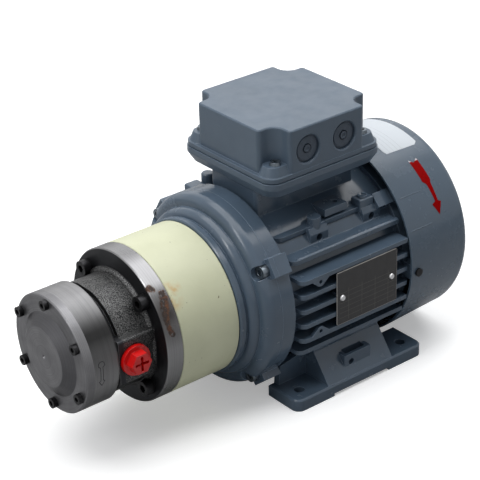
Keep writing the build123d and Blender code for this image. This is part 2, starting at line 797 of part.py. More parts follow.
with BuildPart() as drive_end_shield:
    with BuildSketch(shaft_plane):
        with BuildLine():
            rise_x = x_shield_seat + 2 + valley_fillet
            top_x = rise_x + shoulder_fillet
            Polyline(
                (x_motor_flange, motor_shaft_radius + 1),
                (x_motor_flange - spigot_length, motor_shaft_radius + 1),
                (x_motor_flange - spigot_length, spigot_radius - small_chamfer),
                (x_motor_flange - spigot_length + small_chamfer, spigot_radius),
                (x_motor_flange, spigot_radius),
                (x_motor_flange, shield_flange_radius - small_chamfer),
                (x_motor_flange + small_chamfer, shield_flange_radius),
                (x_shield_seat, shield_flange_radius),
                (x_shield_seat + 2, valley_radius),
            )
            RadiusArc((x_shield_seat + 2, valley_radius), (rise_x, valley_radius + valley_fillet), valley_fillet)
            Line((rise_x, valley_radius + valley_fillet), (rise_x, shield_radius - shoulder_fillet))
            RadiusArc((rise_x, shield_radius - shoulder_fillet), (top_x, shield_radius), shoulder_fillet)
            Polyline(
                (top_x, shield_radius),
                (x_frame_front, shield_radius),
                (x_frame_front, bore_radius - seat_gap),
                (x_frame_front + frame_spigot_length, bore_radius - seat_gap),
                (x_frame_front + frame_spigot_length, bore_radius - spigot_wall),
                (x_frame_front, bore_radius - spigot_wall),
                (x_frame_front - 2, shield_radius - shield_wall),
                (top_x, shield_radius - shield_wall),
                (x_shield_seat + shield_wall, valley_radius - shield_wall),
                (x_shield_seat + shield_wall, motor_bearing_radius + bearing_hub_wall),
                (x_hub_inner, motor_bearing_radius + bearing_hub_wall),
                (x_hub_inner, motor_shaft_radius + 1),
                (x_motor_flange, motor_shaft_radius + 1),
            )
        make_face()
    revolve(axis=shaft_axis)
    # Bearing seat and seal seat, and lugs for the screws that hold the shield on the frame
    ring(x_drive_bearing, x_hub_inner, motor_bearing_radius, mode=Mode.SUBTRACT)
    ring(x_motor_flange - spigot_length, x_motor_flange + drive_seal_width - spigot_length,
         drive_seal_radius, mode=Mode.SUBTRACT)
    for angle in lug_angles:
        screw_lug(angle, x_frame_front - shield_lug_length, shield_lug_length)
        pins(x_shield_seat, x_frame_front - shield_lug_length, lug_circle, 1, angle,
             motor_screw_radius * cap_head_ratio + pass_gap, mode=Mode.SUBTRACT)
        pins(x_frame_front - shield_lug_length, x_frame_front, lug_circle, 1, angle,
             motor_screw_radius + seat_gap, mode=Mode.SUBTRACT)
    pins(x_motor_flange, x_motor_flange + flange_tap_depth, flange_screw_circle, 4, 45,
         flange_screw_radius + seat_gap, mode=Mode.SUBTRACT)
finish(drive_end_shield, "drive_end_shield")

with BuildPart() as drive_end_seal:
    ring(x_motor_flange - spigot_length, x_motor_flange + drive_seal_width - spigot_length,
         drive_seal_radius - seat_gap, motor_shaft_radius + running_gap)
finish(drive_end_seal, "drive_end_seal")

with BuildPart() as shield_screws:
    for angle in lug_angles:
        cap_screws(x_frame_front - shield_lug_length, lug_circle, 1, angle, motor_screw_radius,
                   shield_screw_length, 2 * motor_screw_radius)
finish(shield_screws, "shield_screws")

# Motor frame: finned tube with end lugs, a shelf of blocks for other foot positions, and the box tower
x_fin_front = x_frame_front + fin_start
x_rear_lug = x_frame_rear - rear_lug_length
tower_centre = box_centre_x
with BuildPart() as motor_frame:
    ring(x_frame_front, x_frame_rear, body_radius)
    ring(x_frame_front, x_frame_front + front_ring_length, shield_radius)
    # Side fins: level plates with rounded front corners
    fin_length = x_cowl_front - fin_cowl_gap - x_fin_front
    for level, reach in fin_reach.items():
        fin_middle = shaft_height + level * fin_pitch
        with BuildSketch(Plane.XY.offset(fin_middle - fin_thick / 2)) as fin:
            with Locations((x_fin_front + fin_length / 2, 0)):
                Rectangle(fin_length, 2 * reach)
            fillet(fin.vertices().group_by(Axis.X)[0], fin_corner)
        extrude(amount=fin_thick)
    # Round bead along the edge of the uppermost wide fin
    with BuildSketch(station(x_fin_front + fin_corner)):
        for side in (-1, 1):
            with Locations((side * (fin_reach[bead_level] - bead_radius), bead_level * fin_pitch)):
                Circle(bead_radius)
    extrude(amount=fin_length - fin_corner)
    # Bottom fins: upright plates between the feet
    for place in range(-under_fin_count, under_fin_count + 1):
        with BuildSketch(Plane.XZ.offset(-place * under_fin_pitch - fin_thick / 2)) as fin:
            drop = sqrt(under_fin_depth ** 2 - (place * under_fin_pitch) ** 2)
            with Locations((x_fin_front + fin_length / 2, shaft_height - drop / 2)):
                Rectangle(fin_length, drop)
            fillet(fin.vertices().sort_by(Axis.Y)[0:2].filter_by_position(Axis.X, x_fin_front - 1,
                   x_fin_front + 1), fin_corner)
        extrude(amount=fin_thick)
    for angle in lug_angles:
        screw_lug(angle, x_frame_front, frame_lug_length)
    for angle in rear_lug_angles:
        with BuildSketch(station(x_rear_lug)):
            with PolarLocations(body_radius, 1, start_angle=angle):
                Rectangle(2 * (rear_lug_reach - body_radius), rear_lug_width)
        extrude(amount=rear_lug_length)
    # Blocks on the shelf, with tapped holes facing sideways, and round bosses standing on them
    for side in (-1, 1):
        # Pad that the foot is screwed to
        with Locations((0, side * (foot_inner + pedestal_lip) / 2, pedestal_top + foot_pad_height / 2)):
            Box(2 * pedestal_half_length, pedestal_lip - foot_inner, foot_pad_height)
        for middle in block_places:
            with BuildSketch(Plane.YZ.offset(middle - block_length / 2)):
                with BuildLine():
                    Polyline((side * block_inner, block_low), (side * block_outer, block_low),
                             (side * block_outer, block_high - block_corner),
                             (side * (block_outer - block_corner / 2), block_high),
                             (side * block_inner, block_high), close=True)
                make_face()
            extrude(amount=block_length)
        with Locations((block_places[0], side * boss_side, (block_low + boss_top) / 2)):
            Cylinder(boss_radius, boss_top - block_low)
        # Pad between the blocks, carried by a web that is narrower than the pad
        with Locations((pad_middle, side * (pad_inner + pad_outer) / 2, pad_top - pad_thick / 2)):
            Box(pad_length, pad_outer - pad_inner, pad_thick)
        with Locations((pad_middle, side * (pad_inner + pad_outer - pad_web) / 2, (block_low + pad_top) / 2)):
            Box(pad_length - pad_web, pad_outer - pad_inner - pad_web, pad_top - block_low)
    # Tower that carries the terminal box
    with BuildSketch(Plane.XY.offset(shaft_height)):
        with Locations((box_centre_x, 0)):
            RectangleRounded(tower_length, tower_width, 3)
    extrude(amount=tower_top - shaft_height)
    # Bosses on the middle fin for the rivets of the rating plate, and hanging lugs on the outer fins
    for middle in rivet_places:
        with Locations((middle, -fin_reach[0] + rivet_boss_depth / 2, shaft_height)):
            Box(rivet_boss_width, rivet_boss_depth, rivet_boss_width)
    for level, place, turn in hang_lug_places:
        edge = shaft_height + level * fin_pitch
        tip = edge + turn * hang_lug_drop
        with BuildSketch(Plane.XZ.offset(fin_reach[level] - hang_lug_thick)):
            with BuildLine():
                Polyline((place - hang_lug_half, edge), (place - 1.5, tip), (place + 1.5, tip),
                         (place + hang_lug_half, edge), close=True)
            make_face()
        extrude(amount=hang_lug_thick)
    # Bore for the stator, and the hollow tower open to it
    ring(x_frame_front, x_frame_rear, bore_radius, mode=Mode.SUBTRACT)
    # Seats that the feet stand against
    for side in (-1, 1):
        with Locations((0, side * (foot_outer + foot_inner) / 2, pedestal_top / 2)):
            Box(2 * (pedestal_half_length + 2), foot_outer - foot_inner, pedestal_top, mode=Mode.SUBTRACT)
    with BuildSketch(Plane.XY.offset(tower_floor)):
        with Locations((box_centre_x, 0)):
            RectangleRounded(tower_length - 2 * tower_wall, tower_width - 2 * tower_wall, 2)
    extrude(amount=tower_top - tower_floor, mode=Mode.SUBTRACT)
    with BuildSketch(Plane.XY.offset(shaft_height)):
        with Locations((box_centre_x + lead_hole_shift, 0)):
            Circle(lead_hole_radius)
    extrude(amount=tower_floor - shaft_height, mode=Mode.SUBTRACT)
    # Tapped holes
    for angle in lug_angles:
        pins(x_frame_front, x_frame_front + frame_lug_length, lug_circle, 1, angle,
             motor_screw_radius + seat_gap, mode=Mode.SUBTRACT)
    for side in (-1, 1):
        for middle in block_places:
            with Locations(Plane(origin=(middle, side * block_outer, block_hole_height), z_dir=(0, side, 0))):
                Hole(motor_screw_radius, depth=10)
        with Locations((pad_middle + 4, side * (pad_outer - pad_web), pad_top)):
            Hole(motor_screw_radius * 0.7, depth=8)
        for place in (-1, 1):
            with Locations((place * foot_screw_x, side * foot_screw_y, foot_screw_tip / 2)):
                Cylinder(foot_screw_radius + seat_gap, foot_screw_tip + 1, mode=Mode.SUBTRACT)
    for level, place, turn in hang_lug_places:
        hole_height = shaft_height + level * fin_pitch + turn * hang_lug_drop / 2
        with Locations(Plane(origin=(place, -fin_reach[level], hole_height), z_dir=(0, -1, 0))):
            Hole(1.4, depth=hang_lug_thick)
    for middle in rivet_places:
        with Locations(Plane(origin=(middle, -fin_reach[0], shaft_height), z_dir=(0, -1, 0))):
            Hole(rivet_radius + seat_gap, depth=rivet_boss_depth - 1)
    pins(x_rear_lug, x_frame_rear, rear_screw_circle, 4, 45, motor_screw_radius + seat_gap,
         mode=Mode.SUBTRACT)
finish(motor_frame, "motor_frame")

# Fan end shield: plate with the rear bearing seat, and ears that the cowl is screwed to
x_rear_plate = x_frame_rear
x_shield_rear = x_rear_plate + rear_shield_thick
x_rear_seat_end = x_shield_rear - rear_lip_thick
x_wave_spring = x_rear_seat_end - wave_spring_thick
x_rear_bearing = x_wave_spring - motor_bearing_width
cowl_screw_x = x_cowl_front + cowl_screw_inset
x_ear_rear = cowl_screw_x + ear_width / 2
ear_reach = cowl_inner_radius(x_ear_rear - x_cowl_front) - seat_gap
with BuildPart() as fan_end_shield:
    ring(x_rear_plate, x_shield_rear, body_radius + 3)
    ring(x_rear_plate - frame_spigot_length, x_rear_plate, bore_radius - seat_gap, bore_radius - spigot_wall)
    ring(x_rear_bearing, x_shield_rear, motor_bearing_radius + bearing_hub_wall)
    for angle in rear_lug_angles:
        with BuildSketch(station(x_rear_plate)):
            with PolarLocations(body_radius, 1, start_angle=angle):
                Rectangle(2 * (rear_lug_reach - body_radius), rear_lug_width)
        extrude(amount=rear_shield_thick)
    with BuildSketch(station(x_rear_plate)) as ears:
        for angle in cowl_screw_angles:
            with PolarLocations(ear_reach - 8, 1, start_angle=angle):
                Rectangle(16.5, ear_width)
        Circle(ear_reach, mode=Mode.INTERSECT)
    extrude(amount=x_ear_rear - x_rear_plate)
    ring(x_rear_plate - frame_spigot_length, x_rear_seat_end, motor_bearing_radius, mode=Mode.SUBTRACT)
    ring(x_rear_bearing, x_rear_seat_end, motor_bearing_radius, mode=Mode.SUBTRACT)
    ring(x_rear_bearing, x_shield_rear, motor_bearing_bore + 1.5, mode=Mode.SUBTRACT)
    pins(x_rear_plate, x_shield_rear, rear_screw_circle, 4, 45, motor_screw_radius + seat_gap,
         mode=Mode.SUBTRACT)
    for angle in cowl_screw_angles:
        radial_hole(angle, cowl_screw_x, cowl_screw_radius + seat_gap, ear_reach - 9, ear_reach + 1)
finish(fan_end_shield, "fan_end_shield")

with BuildPart() as rear_screws:
    pins(x_shield_rear, x_shield_rear + 2 * motor_screw_radius, rear_screw_circle, 4, 45,
         motor_screw_radius * cap_head_ratio)
    pins(x_shield_rear - rear_screw_length, x_shield_rear, rear_screw_circle, 4, 45, motor_screw_radius)
    with BuildSketch(station(x_shield_rear + 2 * motor_screw_radius)) as sockets:
        with PolarLocations(rear_screw_circle, 4, start_angle=45):
            RegularPolygon(motor_screw_radius * 0.92, 6)
    extrude(amount=-motor_screw_radius, mode=Mode.SUBTRACT)
finish(rear_screws, "rear_screws")

with BuildPart() as wave_spring:
    ring(x_wave_spring, x_rear_seat_end, motor_bearing_radius - seat_gap, motor_bearing_radius - 3)
finish(wave_spring, "wave_spring")

bearing(x_drive_bearing, motor_bearing_width, motor_bearing_radius, motor_bearing_bore, "drive_bearing")
bearing(x_rear_bearing, motor_bearing_width, motor_bearing_radius, motor_bearing_bore, "rear_bearing")

# Stator: core with its windings standing out at both ends
x_core_front = box_centre_x - core_length / 2
x_core_rear = x_core_front + core_length
with BuildPart() as stator_core:
    ring(x_core_front, x_core_rear, bore_radius - seat_gap, core_bore_radius)
finish(stator_core, "stator_core")

with BuildPart() as stator_windings:
    with BuildSketch(shaft_plane):
        for edge, way in ((x_core_front, -1), (x_core_rear, 1)):
            with Locations((edge + way * end_turn_length / 2, (end_turn_inner + end_turn_outer) / 2)):
                RectangleRounded(end_turn_length, end_turn_outer - end_turn_inner, 3)
    revolve(axis=shaft_axis)
finish(stator_windings, "stator_windings")

# Rotor: core on the shaft with a cast end ring at each end
with BuildPart() as rotor_core:
    ring(x_core_front, x_core_rear, core_bore_radius - air_gap, core_shaft_radius)
finish(rotor_core, "rotor_core")

with BuildPart() as rotor_end_rings:
    for edge, way in ((x_core_front, -1), (x_core_rear, 1)):
        ring(edge, edge + way * end_ring_length, core_bore_radius - air_gap - 1, core_shaft_radius + 8)
        with BuildSketch(station(edge + way * end_ring_length)) as stubs:
            with PolarLocations(core_bore_radius - air_gap - 4, end_ring_fins):
                Rectangle(6, 1.6)
        extrude(amount=way * end_ring_fin_length)
finish(rotor_end_rings, "rotor_end_rings")

# Motor shaft: stepped from the drive end, past both bearings, to the fan seat
x_shaft_rear = x_fan_front + fan_hub_length + fan_circlip_thick + 2.5
motor_key_length = hub_length - 2
x_fan_circlip = x_fan_front + fan_hub_length
with BuildPart() as motor_shaft:
    turned([
        (x_motor_shaft_end, 0),
        (x_motor_shaft_end, motor_shaft_radius - 0.6),
        (x_motor_shaft_end + 0.6, motor_shaft_radius),
        (x_drive_bearing, motor_shaft_radius),
        (x_drive_bearing, motor_bearing_bore),
        (x_drive_bearing + motor_bearing_width, motor_bearing_bore),
        (x_drive_bearing + motor_bearing_width, core_shaft_radius),
        (x_rear_bearing, core_shaft_radius),
        (x_rear_bearing, motor_bearing_bore),
        (x_rear_bearing + motor_bearing_width, motor_bearing_bore),
        (x_rear_bearing + motor_bearing_width, fan_shaft_radius),
        (x_shaft_rear, fan_shaft_radius),
        (x_shaft_rear, 0),
    ])
    ring(x_fan_circlip, x_fan_circlip + fan_circlip_thick, fan_shaft_radius + 1, fan_shaft_radius - 0.5,
         mode=Mode.SUBTRACT)
    extrude(key_section(station(x_motor_shaft_end + 1), motor_key_top, motor_key_width, motor_key_height),
            amount=motor_key_length, mode=Mode.SUBTRACT)
finish(motor_shaft, "motor_shaft")

with BuildPart() as motor_key:
    extrude(key_section(station(x_motor_shaft_end + 1), motor_key_top, motor_key_width, motor_key_height),
            amount=motor_key_length)
finish(motor_key, "motor_key")

# Fan: hub, disc and straight radial blades on the side of the motor
with BuildPart() as fan:
    ring(x_fan_front, x_fan_front + fan_hub_length, fan_hub_radius)
    ring(x_fan_front + fan_width, x_fan_front + fan_width + fan_disc_thick, fan_radius)
    with BuildSketch(station(x_fan_front)) as blades:
        with PolarLocations((fan_hub_radius + fan_radius) / 2 - 1, fan_blades):
            Rectangle(fan_radius - fan_hub_radius + 1, fan_blade_thick)
    extrude(amount=fan_width)
    ring(x_fan_front, x_fan_front + fan_hub_length, fan_shaft_radius, mode=Mode.SUBTRACT)
finish(fan, "fan")

with BuildPart() as fan_circlip:
    with BuildSketch(station(x_fan_circlip)):
        Circle(fan_shaft_radius + 2.2)
        Circle(fan_shaft_radius - 0.5, mode=Mode.SUBTRACT)
        with Locations((0, -fan_shaft_radius)):
            Rectangle(4.5, 6, mode=Mode.SUBTRACT)
    extrude(amount=fan_circlip_thick)
finish(fan_circlip, "fan_circlip")

# Fan cowl: drawn sheet cap with a slight draft, a rolled rear edge and a ring pattern of air slots
with BuildPart() as fan_cowl:
    with BuildSketch(shaft_plane):
        with BuildLine():
            Polyline(
                (x_cowl_rear, 0),
                (x_cowl_rear - cowl_wall, 0),
                (x_cowl_rear - cowl_wall, cowl_rear_radius - cowl_edge_radius),
            )
            RadiusArc((x_cowl_rear - cowl_wall, cowl_rear_radius - cowl_edge_radius),
                      (x_cowl_rear - cowl_edge_radius, cowl_rear_radius - cowl_wall),
                      cowl_edge_radius - cowl_wall)
            Polyline(
                (x_cowl_rear - cowl_edge_radius, cowl_rear_radius - cowl_wall),
                (x_cowl_front, cowl_front_radius - cowl_wall),
                (x_cowl_front, cowl_front_radius),
                (x_cowl_rear - cowl_edge_radius, cowl_rear_radius),
            )
            RadiusArc((x_cowl_rear - cowl_edge_radius, cowl_rear_radius),
                      (x_cowl_rear, cowl_rear_radius - cowl_edge_radius), cowl_edge_radius)
            Line((x_cowl_rear, cowl_rear_radius - cowl_edge_radius), (x_cowl_rear, 0))
        make_face()
    revolve(axis=shaft_axis)
    with BuildSketch(station(x_cowl_rear - 2 * cowl_wall)) as slots:
        for circle, count in slot_rings:
            with PolarLocations(circle, count):
                SlotOverall(slot_length, slot_width)
    extrude(amount=3 * cowl_wall, mode=Mode.SUBTRACT)
    for angle in cowl_screw_angles:
        radial_hole(angle, cowl_screw_x, cowl_screw_radius + pass_gap, ear_reach - 1, cowl_front_radius + 1)
finish(fan_cowl, "fan_cowl")

# The heads are seated on the widest part of the drafted wall under them
cowl_head_radius = cowl_screw_radius * 1.9
cowl_seat_out = cowl_inner_radius(cowl_screw_inset - cowl_head_radius) + cowl_wall + seat_gap - ear_reach
with BuildPart() as cowl_screws:
    for angle in cowl_screw_angles:
        out = Plane(origin=(cowl_screw_x, ear_reach * cos(radians(angle)),
                            shaft_height + ear_reach * sin(radians(angle))),
                    z_dir=(0, cos(radians(angle)), sin(radians(angle))))
        with BuildSketch(out.offset(cowl_seat_out)) as head:
            Circle(cowl_head_radius)
        extrude(amount=cowl_head_height)
        with BuildSketch(out.offset(cowl_seat_out)) as shank:
            Circle(cowl_screw_radius)
        extrude(amount=-cowl_screw_length)
finish(cowl_screws, "cowl_screws")

# Feet: each a plate with an upright wall, a sloping pedestal up to the frame, and a block with a nut slot
x_foot_front = -foot_length / 2
pedestal_foot = foot_outer - 1.5
for side, name in ((-1, "right_foot"), (1, "left_foot")):
    with BuildPart() as foot:
        with BuildSketch() as plan:
            with Locations((0, side * (foot_outer + foot_inner) / 2)):
                Rectangle(foot_length, foot_outer - foot_inner)
            fillet(plan.vertices().group_by(Axis.Y)[-1 if side > 0 else 0], foot_corner)
        extrude(amount=foot_plate)
        chamfer(foot.edges().group_by(Axis.Z)[-1], 1)
        # Upright wall on the inner edge, lower towards its ends
        with BuildSketch(Plane.XZ.offset(-side * foot_inner)):
            with BuildLine():
                Polyline((x_foot_front + 4, 0), (x_foot_front + 6, foot_wall_low),
                         (-pedestal_half_length, foot_wall_high), (pedestal_half_length, foot_wall_high),
                         (foot_wall_rear, foot_plate), (foot_wall_rear, 0), close=True)
            make_face()
        extrude(amount=-side * foot_wall_thick)
        # Pedestal with a sloping outer face
        with BuildSketch(Plane.YZ.offset(-pedestal_half_length)):
            with BuildLine():
                Polyline((side * foot_inner, 0), (side * pedestal_foot, 0), (side * pedestal_foot, foot_plate),
                         (side * pedestal_lip, pedestal_top), (side * foot_inner, pedestal_top), close=True)
            make_face()
        extrude(amount=2 * pedestal_half_length)
        # Block on the sloping face, with an open slot for a nut behind its wall and a hole through the wall
        block_middle_y = side * (foot_inner + nut_block_reach) / 2
        with Locations((nut_block_middle, block_middle_y, (foot_plate + nut_block_height) / 2)):
            Box(nut_block_length, nut_block_reach - foot_inner, nut_block_height - foot_plate)
        slot_y = side * (nut_block_reach - nut_wall - nut_slot_width / 2)
        with Locations((nut_block_middle, slot_y, (nut_slot_floor + pedestal_top) / 2)):
            Box(nut_slot_length, nut_slot_width, pedestal_top - nut_slot_floor, mode=Mode.SUBTRACT)
        hole_x = nut_block_middle + nut_hole_shift
        with Locations(Plane(origin=(hole_x, side * nut_block_reach, nut_hole_height), z_dir=(0, side, 0))):
            Hole(nut_hole_radius, depth=nut_wall + 1)
        # Relief under the middle of the foot, holding-down holes and the screws up into the frame
        with Locations((0, side * (foot_outer + foot_inner) / 2, 0)):
            Box(2 * pedestal_half_length - 8, 2 * foot_outer, 2 * foot_relief, mode=Mode.SUBTRACT)
        for place in (-1, 1):
            with Locations((place * foot_hole_pitch_x / 2, side * foot_hole_pitch_y / 2, 0)):
                Cylinder(foot_hole_bore / 2, 4 * foot_plate, mode=Mode.SUBTRACT)
            with Locations((place * foot_screw_x, side * foot_screw_y, 0)):
                Cylinder(foot_screw_radius + seat_gap, 3 * pedestal_top, mode=Mode.SUBTRACT)
                Cylinder(foot_screw_radius * cap_head_ratio + pass_gap, 2 * foot_head_seat, mode=Mode.SUBTRACT)
    finish(foot, name)

with BuildPart() as foot_screws:
    for side in (-1, 1):
        for place in (-1, 1):
            centre = (place * foot_screw_x, side * foot_screw_y)
            with BuildSketch(Plane.XY.offset(foot_head_seat)) as head:
                with Locations(centre):
                    Circle(foot_screw_radius * cap_head_ratio)
            extrude(amount=-2 * foot_screw_radius)
            with BuildSketch(Plane.XY.offset(foot_head_seat)) as shank:
                with Locations(centre):
                    Circle(foot_screw_radius)
            extrude(amount=foot_screw_tip - foot_head_seat)
            with BuildSketch(Plane.XY.offset(foot_head_seat - 2 * foot_screw_radius)) as socket:
                with Locations(centre):
                    RegularPolygon(foot_screw_radius * 0.92, 6)
            extrude(amount=foot_screw_radius, mode=Mode.SUBTRACT)
finish(foot_screws, "foot_screws")

# Terminal box: gasket on the tower, shallow base, gasket, deep lid with notched corners
entry_places = [box_centre_x + entry_shift + way * entry_pitch / 2 for way in (-1, 1)]
stud_places = [(shift, row * stud_row_gap / 2) for shift in (-stud_pitch, 0, stud_pitch) for row in (-1, 1)]
z_base = tower_top + gasket_thick
z_base_top = z_base + base_height
z_lid = z_base_top + lid_gasket_thick
lid_top = z_lid + lid_height
entry_height = lid_top - entry_drop
box_plane = Plane(origin=(box_centre_x, 0, 0))
screw_inset = 8.0
lid_screw_x = lid_length / 2 - screw_inset
lid_screw_y = lid_width / 2 - screw_inset
lid_screw_places = [(sx * lid_screw_x, sy * lid_screw_y) for sx in (-1, 1) for sy in (-1, 1)]


def upright(z_low, z_high, places, radius, mode=Mode.ADD):
    """Upright round bars or holes at places measured from the centre of the terminal box."""
    with BuildSketch(box_plane.offset(z_low)) as section:
        with Locations(*places):
            Circle(radius)
    extrude(section.sketch, amount=z_high - z_low, mode=mode)


def level_plate(z_low, z_high, length, width, corner, mode=Mode.ADD):
    """Level plate with rounded corners, centred on the terminal box."""
    with BuildSketch(box_plane.offset(z_low)) as section:
        RectangleRounded(length, width, corner)
    extrude(section.sketch, amount=z_high - z_low, mode=mode)


with BuildPart() as tower_gasket:
    level_plate(tower_top, z_base, tower_length, tower_width, 3)
    level_plate(tower_top, z_base, tower_length - 2 * tower_wall, tower_width - 2 * tower_wall, 2,
                mode=Mode.SUBTRACT)
finish(tower_gasket, "tower_gasket")

with BuildPart() as terminal_box_base:
    with BuildSketch(box_plane.offset(z_base)):
        RectangleRounded(base_length - 2 * base_draft, base_width - 2 * base_draft, base_corner)
    with BuildSketch(box_plane.offset(z_base + base_height * 0.6)):
        RectangleRounded(base_length, base_width, base_corner)
    loft()
    level_plate(z_base + base_height * 0.6, z_base_top, base_length, base_width, base_corner)
    level_plate(z_base + base_floor, z_base_top, cavity_length, cavity_width, 6, mode=Mode.SUBTRACT)
    upright(z_base + base_floor, z_base_top, lid_screw_places, 6)
    level_plate(z_base, z_base + base_floor, lead_opening_length, lead_opening_width, 3, mode=Mode.SUBTRACT)
    upright(z_base + 2, z_base_top, lid_screw_places, lid_screw_radius + seat_gap, mode=Mode.SUBTRACT)
    upright(z_base + 1, z_base_top, [(earth_x, earth_y)], earth_screw_radius + seat_gap, mode=Mode.SUBTRACT)
finish(terminal_box_base, "terminal_box_base")

with BuildPart() as lid_gasket:
    level_plate(z_base_top, z_lid, base_length - 2 * lid_gasket_inset, base_width - 2 * lid_gasket_inset,
                base_corner - lid_gasket_inset)
    level_plate(z_base_top, z_lid, cavity_length, cavity_width, 6, mode=Mode.SUBTRACT)
    upright(z_base_top, z_lid, lid_screw_places, lid_screw_radius + pass_gap, mode=Mode.SUBTRACT)
finish(lid_gasket, "lid_gasket")


def lid_plan(inset):
    """Plan of the lid: a rectangle with a rounded notch at each corner for its screw."""
    with BuildSketch(mode=Mode.PRIVATE) as plan:
        Rectangle(lid_length - 2 * inset, lid_width - 2 * inset)
        with Locations(*[(sx * lid_length / 2, sy * lid_width / 2) for sx in (-1, 1) for sy in (-1, 1)]):
            Rectangle(2 * (notch_x + inset), 2 * (notch_y + inset), mode=Mode.SUBTRACT)
        inner = plan.vertices().filter_by(lambda v: abs(v.X) < lid_length / 2 - inset - 1)
        inner = inner.filter_by(lambda v: abs(v.Y) < lid_width / 2 - inset - 1)
        fillet(inner, notch_fillet + inset)
        side_x = lid_length / 2 - inset - 0.01
        side_y = lid_width / 2 - inset - 0.01
        mouth = plan.vertices().filter_by(lambda v: abs(v.X) > side_x or abs(v.Y) > side_y)
        fillet(mouth, max(notch_mouth - inset, 0.5))
    return plan.sketch


with BuildPart() as terminal_box_lid:
    with BuildSketch(box_plane.offset(z_lid)):
        add(lid_plan(0))
    extrude(amount=lid_top - z_lid)
    chamfer(terminal_box_lid.edges().group_by(Axis.Z)[-1], small_chamfer)
    level_plate(z_lid, z_lid + lid_skirt, base_length - 1, base_width - 1, base_corner)
    # Flared lugs for the screws, one in each notch
    with BuildSketch(box_plane.offset(z_lid)) as lug_bases:
        with Locations(*lid_screw_places):
            Circle(lug_base_radius)
        RectangleRounded(base_length - 1, base_width - 1, base_corner, mode=Mode.INTERSECT)
    extrude(amount=lug_height, taper=lug_taper)
    with BuildSketch(box_plane.offset(z_lid)):
        add(lid_plan(lid_wall))
    extrude(amount=lid_top - z_lid - lid_wall, mode=Mode.SUBTRACT)
    upright(z_lid, z_lid + lug_height + 1, lid_screw_places, lid_screw_radius + pass_gap, mode=Mode.SUBTRACT)
    for place in entry_places:
        with Locations(Plane(origin=(place, -lid_width / 2, entry_height), z_dir=(0, -1, 0))):
            CounterSinkHole(entry_radius, entry_radius + entry_lip, depth=2 * lid_wall, counter_sink_angle=90)
finish(terminal_box_lid, "terminal_box_lid")

with BuildPart() as lid_screws:
    z_head = z_lid + lug_height
    with BuildSketch(box_plane.offset(z_head)) as heads:
        with Locations(*lid_screw_places):
            Circle(lid_screw_radius * 1.8)
    extrude(amount=lid_head_height, taper=12)
    upright(z_base + 3, z_head, lid_screw_places, lid_screw_radius)
    with BuildSketch(box_plane.offset(z_head + lid_head_height)) as slots:
        with Locations(*lid_screw_places):
            Rectangle(4.6, 0.9)
            Rectangle(0.9, 4.6)
    extrude(amount=-1.4, mode=Mode.SUBTRACT)
finish(lid_screws, "lid_screws")

# Blanking plugs in the two cable entries, set back a little from the face of the lid
with BuildPart() as entry_plugs:
    for place in entry_places:
        face = Plane(origin=(place, -lid_width / 2 + plug_setback, entry_height), z_dir=(0, -1, 0))
        with BuildSketch(face) as disc:
            Circle(entry_radius - seat_gap)
        extrude(amount=-(lid_wall - plug_setback))
        with BuildSketch(face.offset(-(lid_wall - plug_setback))) as collar:
            Circle(entry_radius - 1.5)
        extrude(amount=-1.5)
        with BuildSketch(face) as step:
            Circle(entry_step_radius)
        extrude(amount=entry_step_height)
        with BuildSketch(face.offset(entry_step_height)) as eye:
            Circle(2.6)
            Circle(1.4, mode=Mode.SUBTRACT)
        extrude(amount=0.4)
finish(entry_plugs, "entry_plugs")

# Terminal block with six studs, their nuts and three brass links
z_floor = z_base + base_floor
with BuildPart() as terminal_block:
    level_plate(z_floor, z_floor + block_base_height, terminal_block_length, terminal_block_width, 2)
    for shift in (-stud_pitch / 2, stud_pitch / 2):
        with Locations((box_centre_x + shift, 0, z_floor + block_base_height + 2)):
            Box(1.6, terminal_block_width - 4, 4)
    upright(z_floor, z_floor + block_base_height, stud_places, stud_radius + seat_gap, mode=Mode.SUBTRACT)
finish(terminal_block, "terminal_block")

z_nut = z_floor + block_base_height + link_thick
with BuildPart() as terminal_studs:
    upright(z_floor, z_nut + 8, stud_places, stud_radius)
    with BuildSketch(box_plane.offset(z_nut)) as nuts:
        with Locations(*stud_places):
            RegularPolygon(3.9, 6)
    extrude(amount=3.2)
finish(terminal_studs, "terminal_studs")

with BuildPart() as terminal_links:
    for shift in (-stud_pitch, 0, stud_pitch):
        with BuildSketch(box_plane.offset(z_floor + block_base_height)) as link:
            with Locations((shift, 0)):
                SlotCenterToCenter(stud_row_gap, 7, rotation=90)
            with Locations((shift, -stud_row_gap / 2), (shift, stud_row_gap / 2)):
                Circle(stud_radius + seat_gap, mode=Mode.SUBTRACT)
        extrude(amount=link_thick)
finish(terminal_links, "terminal_links")

with BuildPart() as earth_screw:
    upright(z_base + 1, z_floor, [(earth_x, earth_y)], earth_screw_radius)
    with BuildSketch(box_plane.offset(z_floor)):
        with Locations((earth_x, earth_y)):
            RegularPolygon(4.2, 6)
    extrude(amount=3)
finish(earth_screw, "earth_screw")

# Rating plate, bare, held on the tips of the side fins by two rivets
plate_seat = Plane(origin=(plate_middle_x, -fin_reach[0], shaft_height), x_dir=(1, 0, 0), z_dir=(0, -1, 0))
rivet_shift = plate_length / 2 - rivet_inset
with BuildPart() as rating_plate:
    with BuildSketch(plate_seat):
        RectangleRounded(plate_length, plate_height, 1)
        with Locations((-rivet_shift, 0), (rivet_shift, 0)):
            Circle(rivet_radius + seat_gap, mode=Mode.SUBTRACT)
    extrude(amount=plate_thick)
finish(rating_plate, "rating_plate")

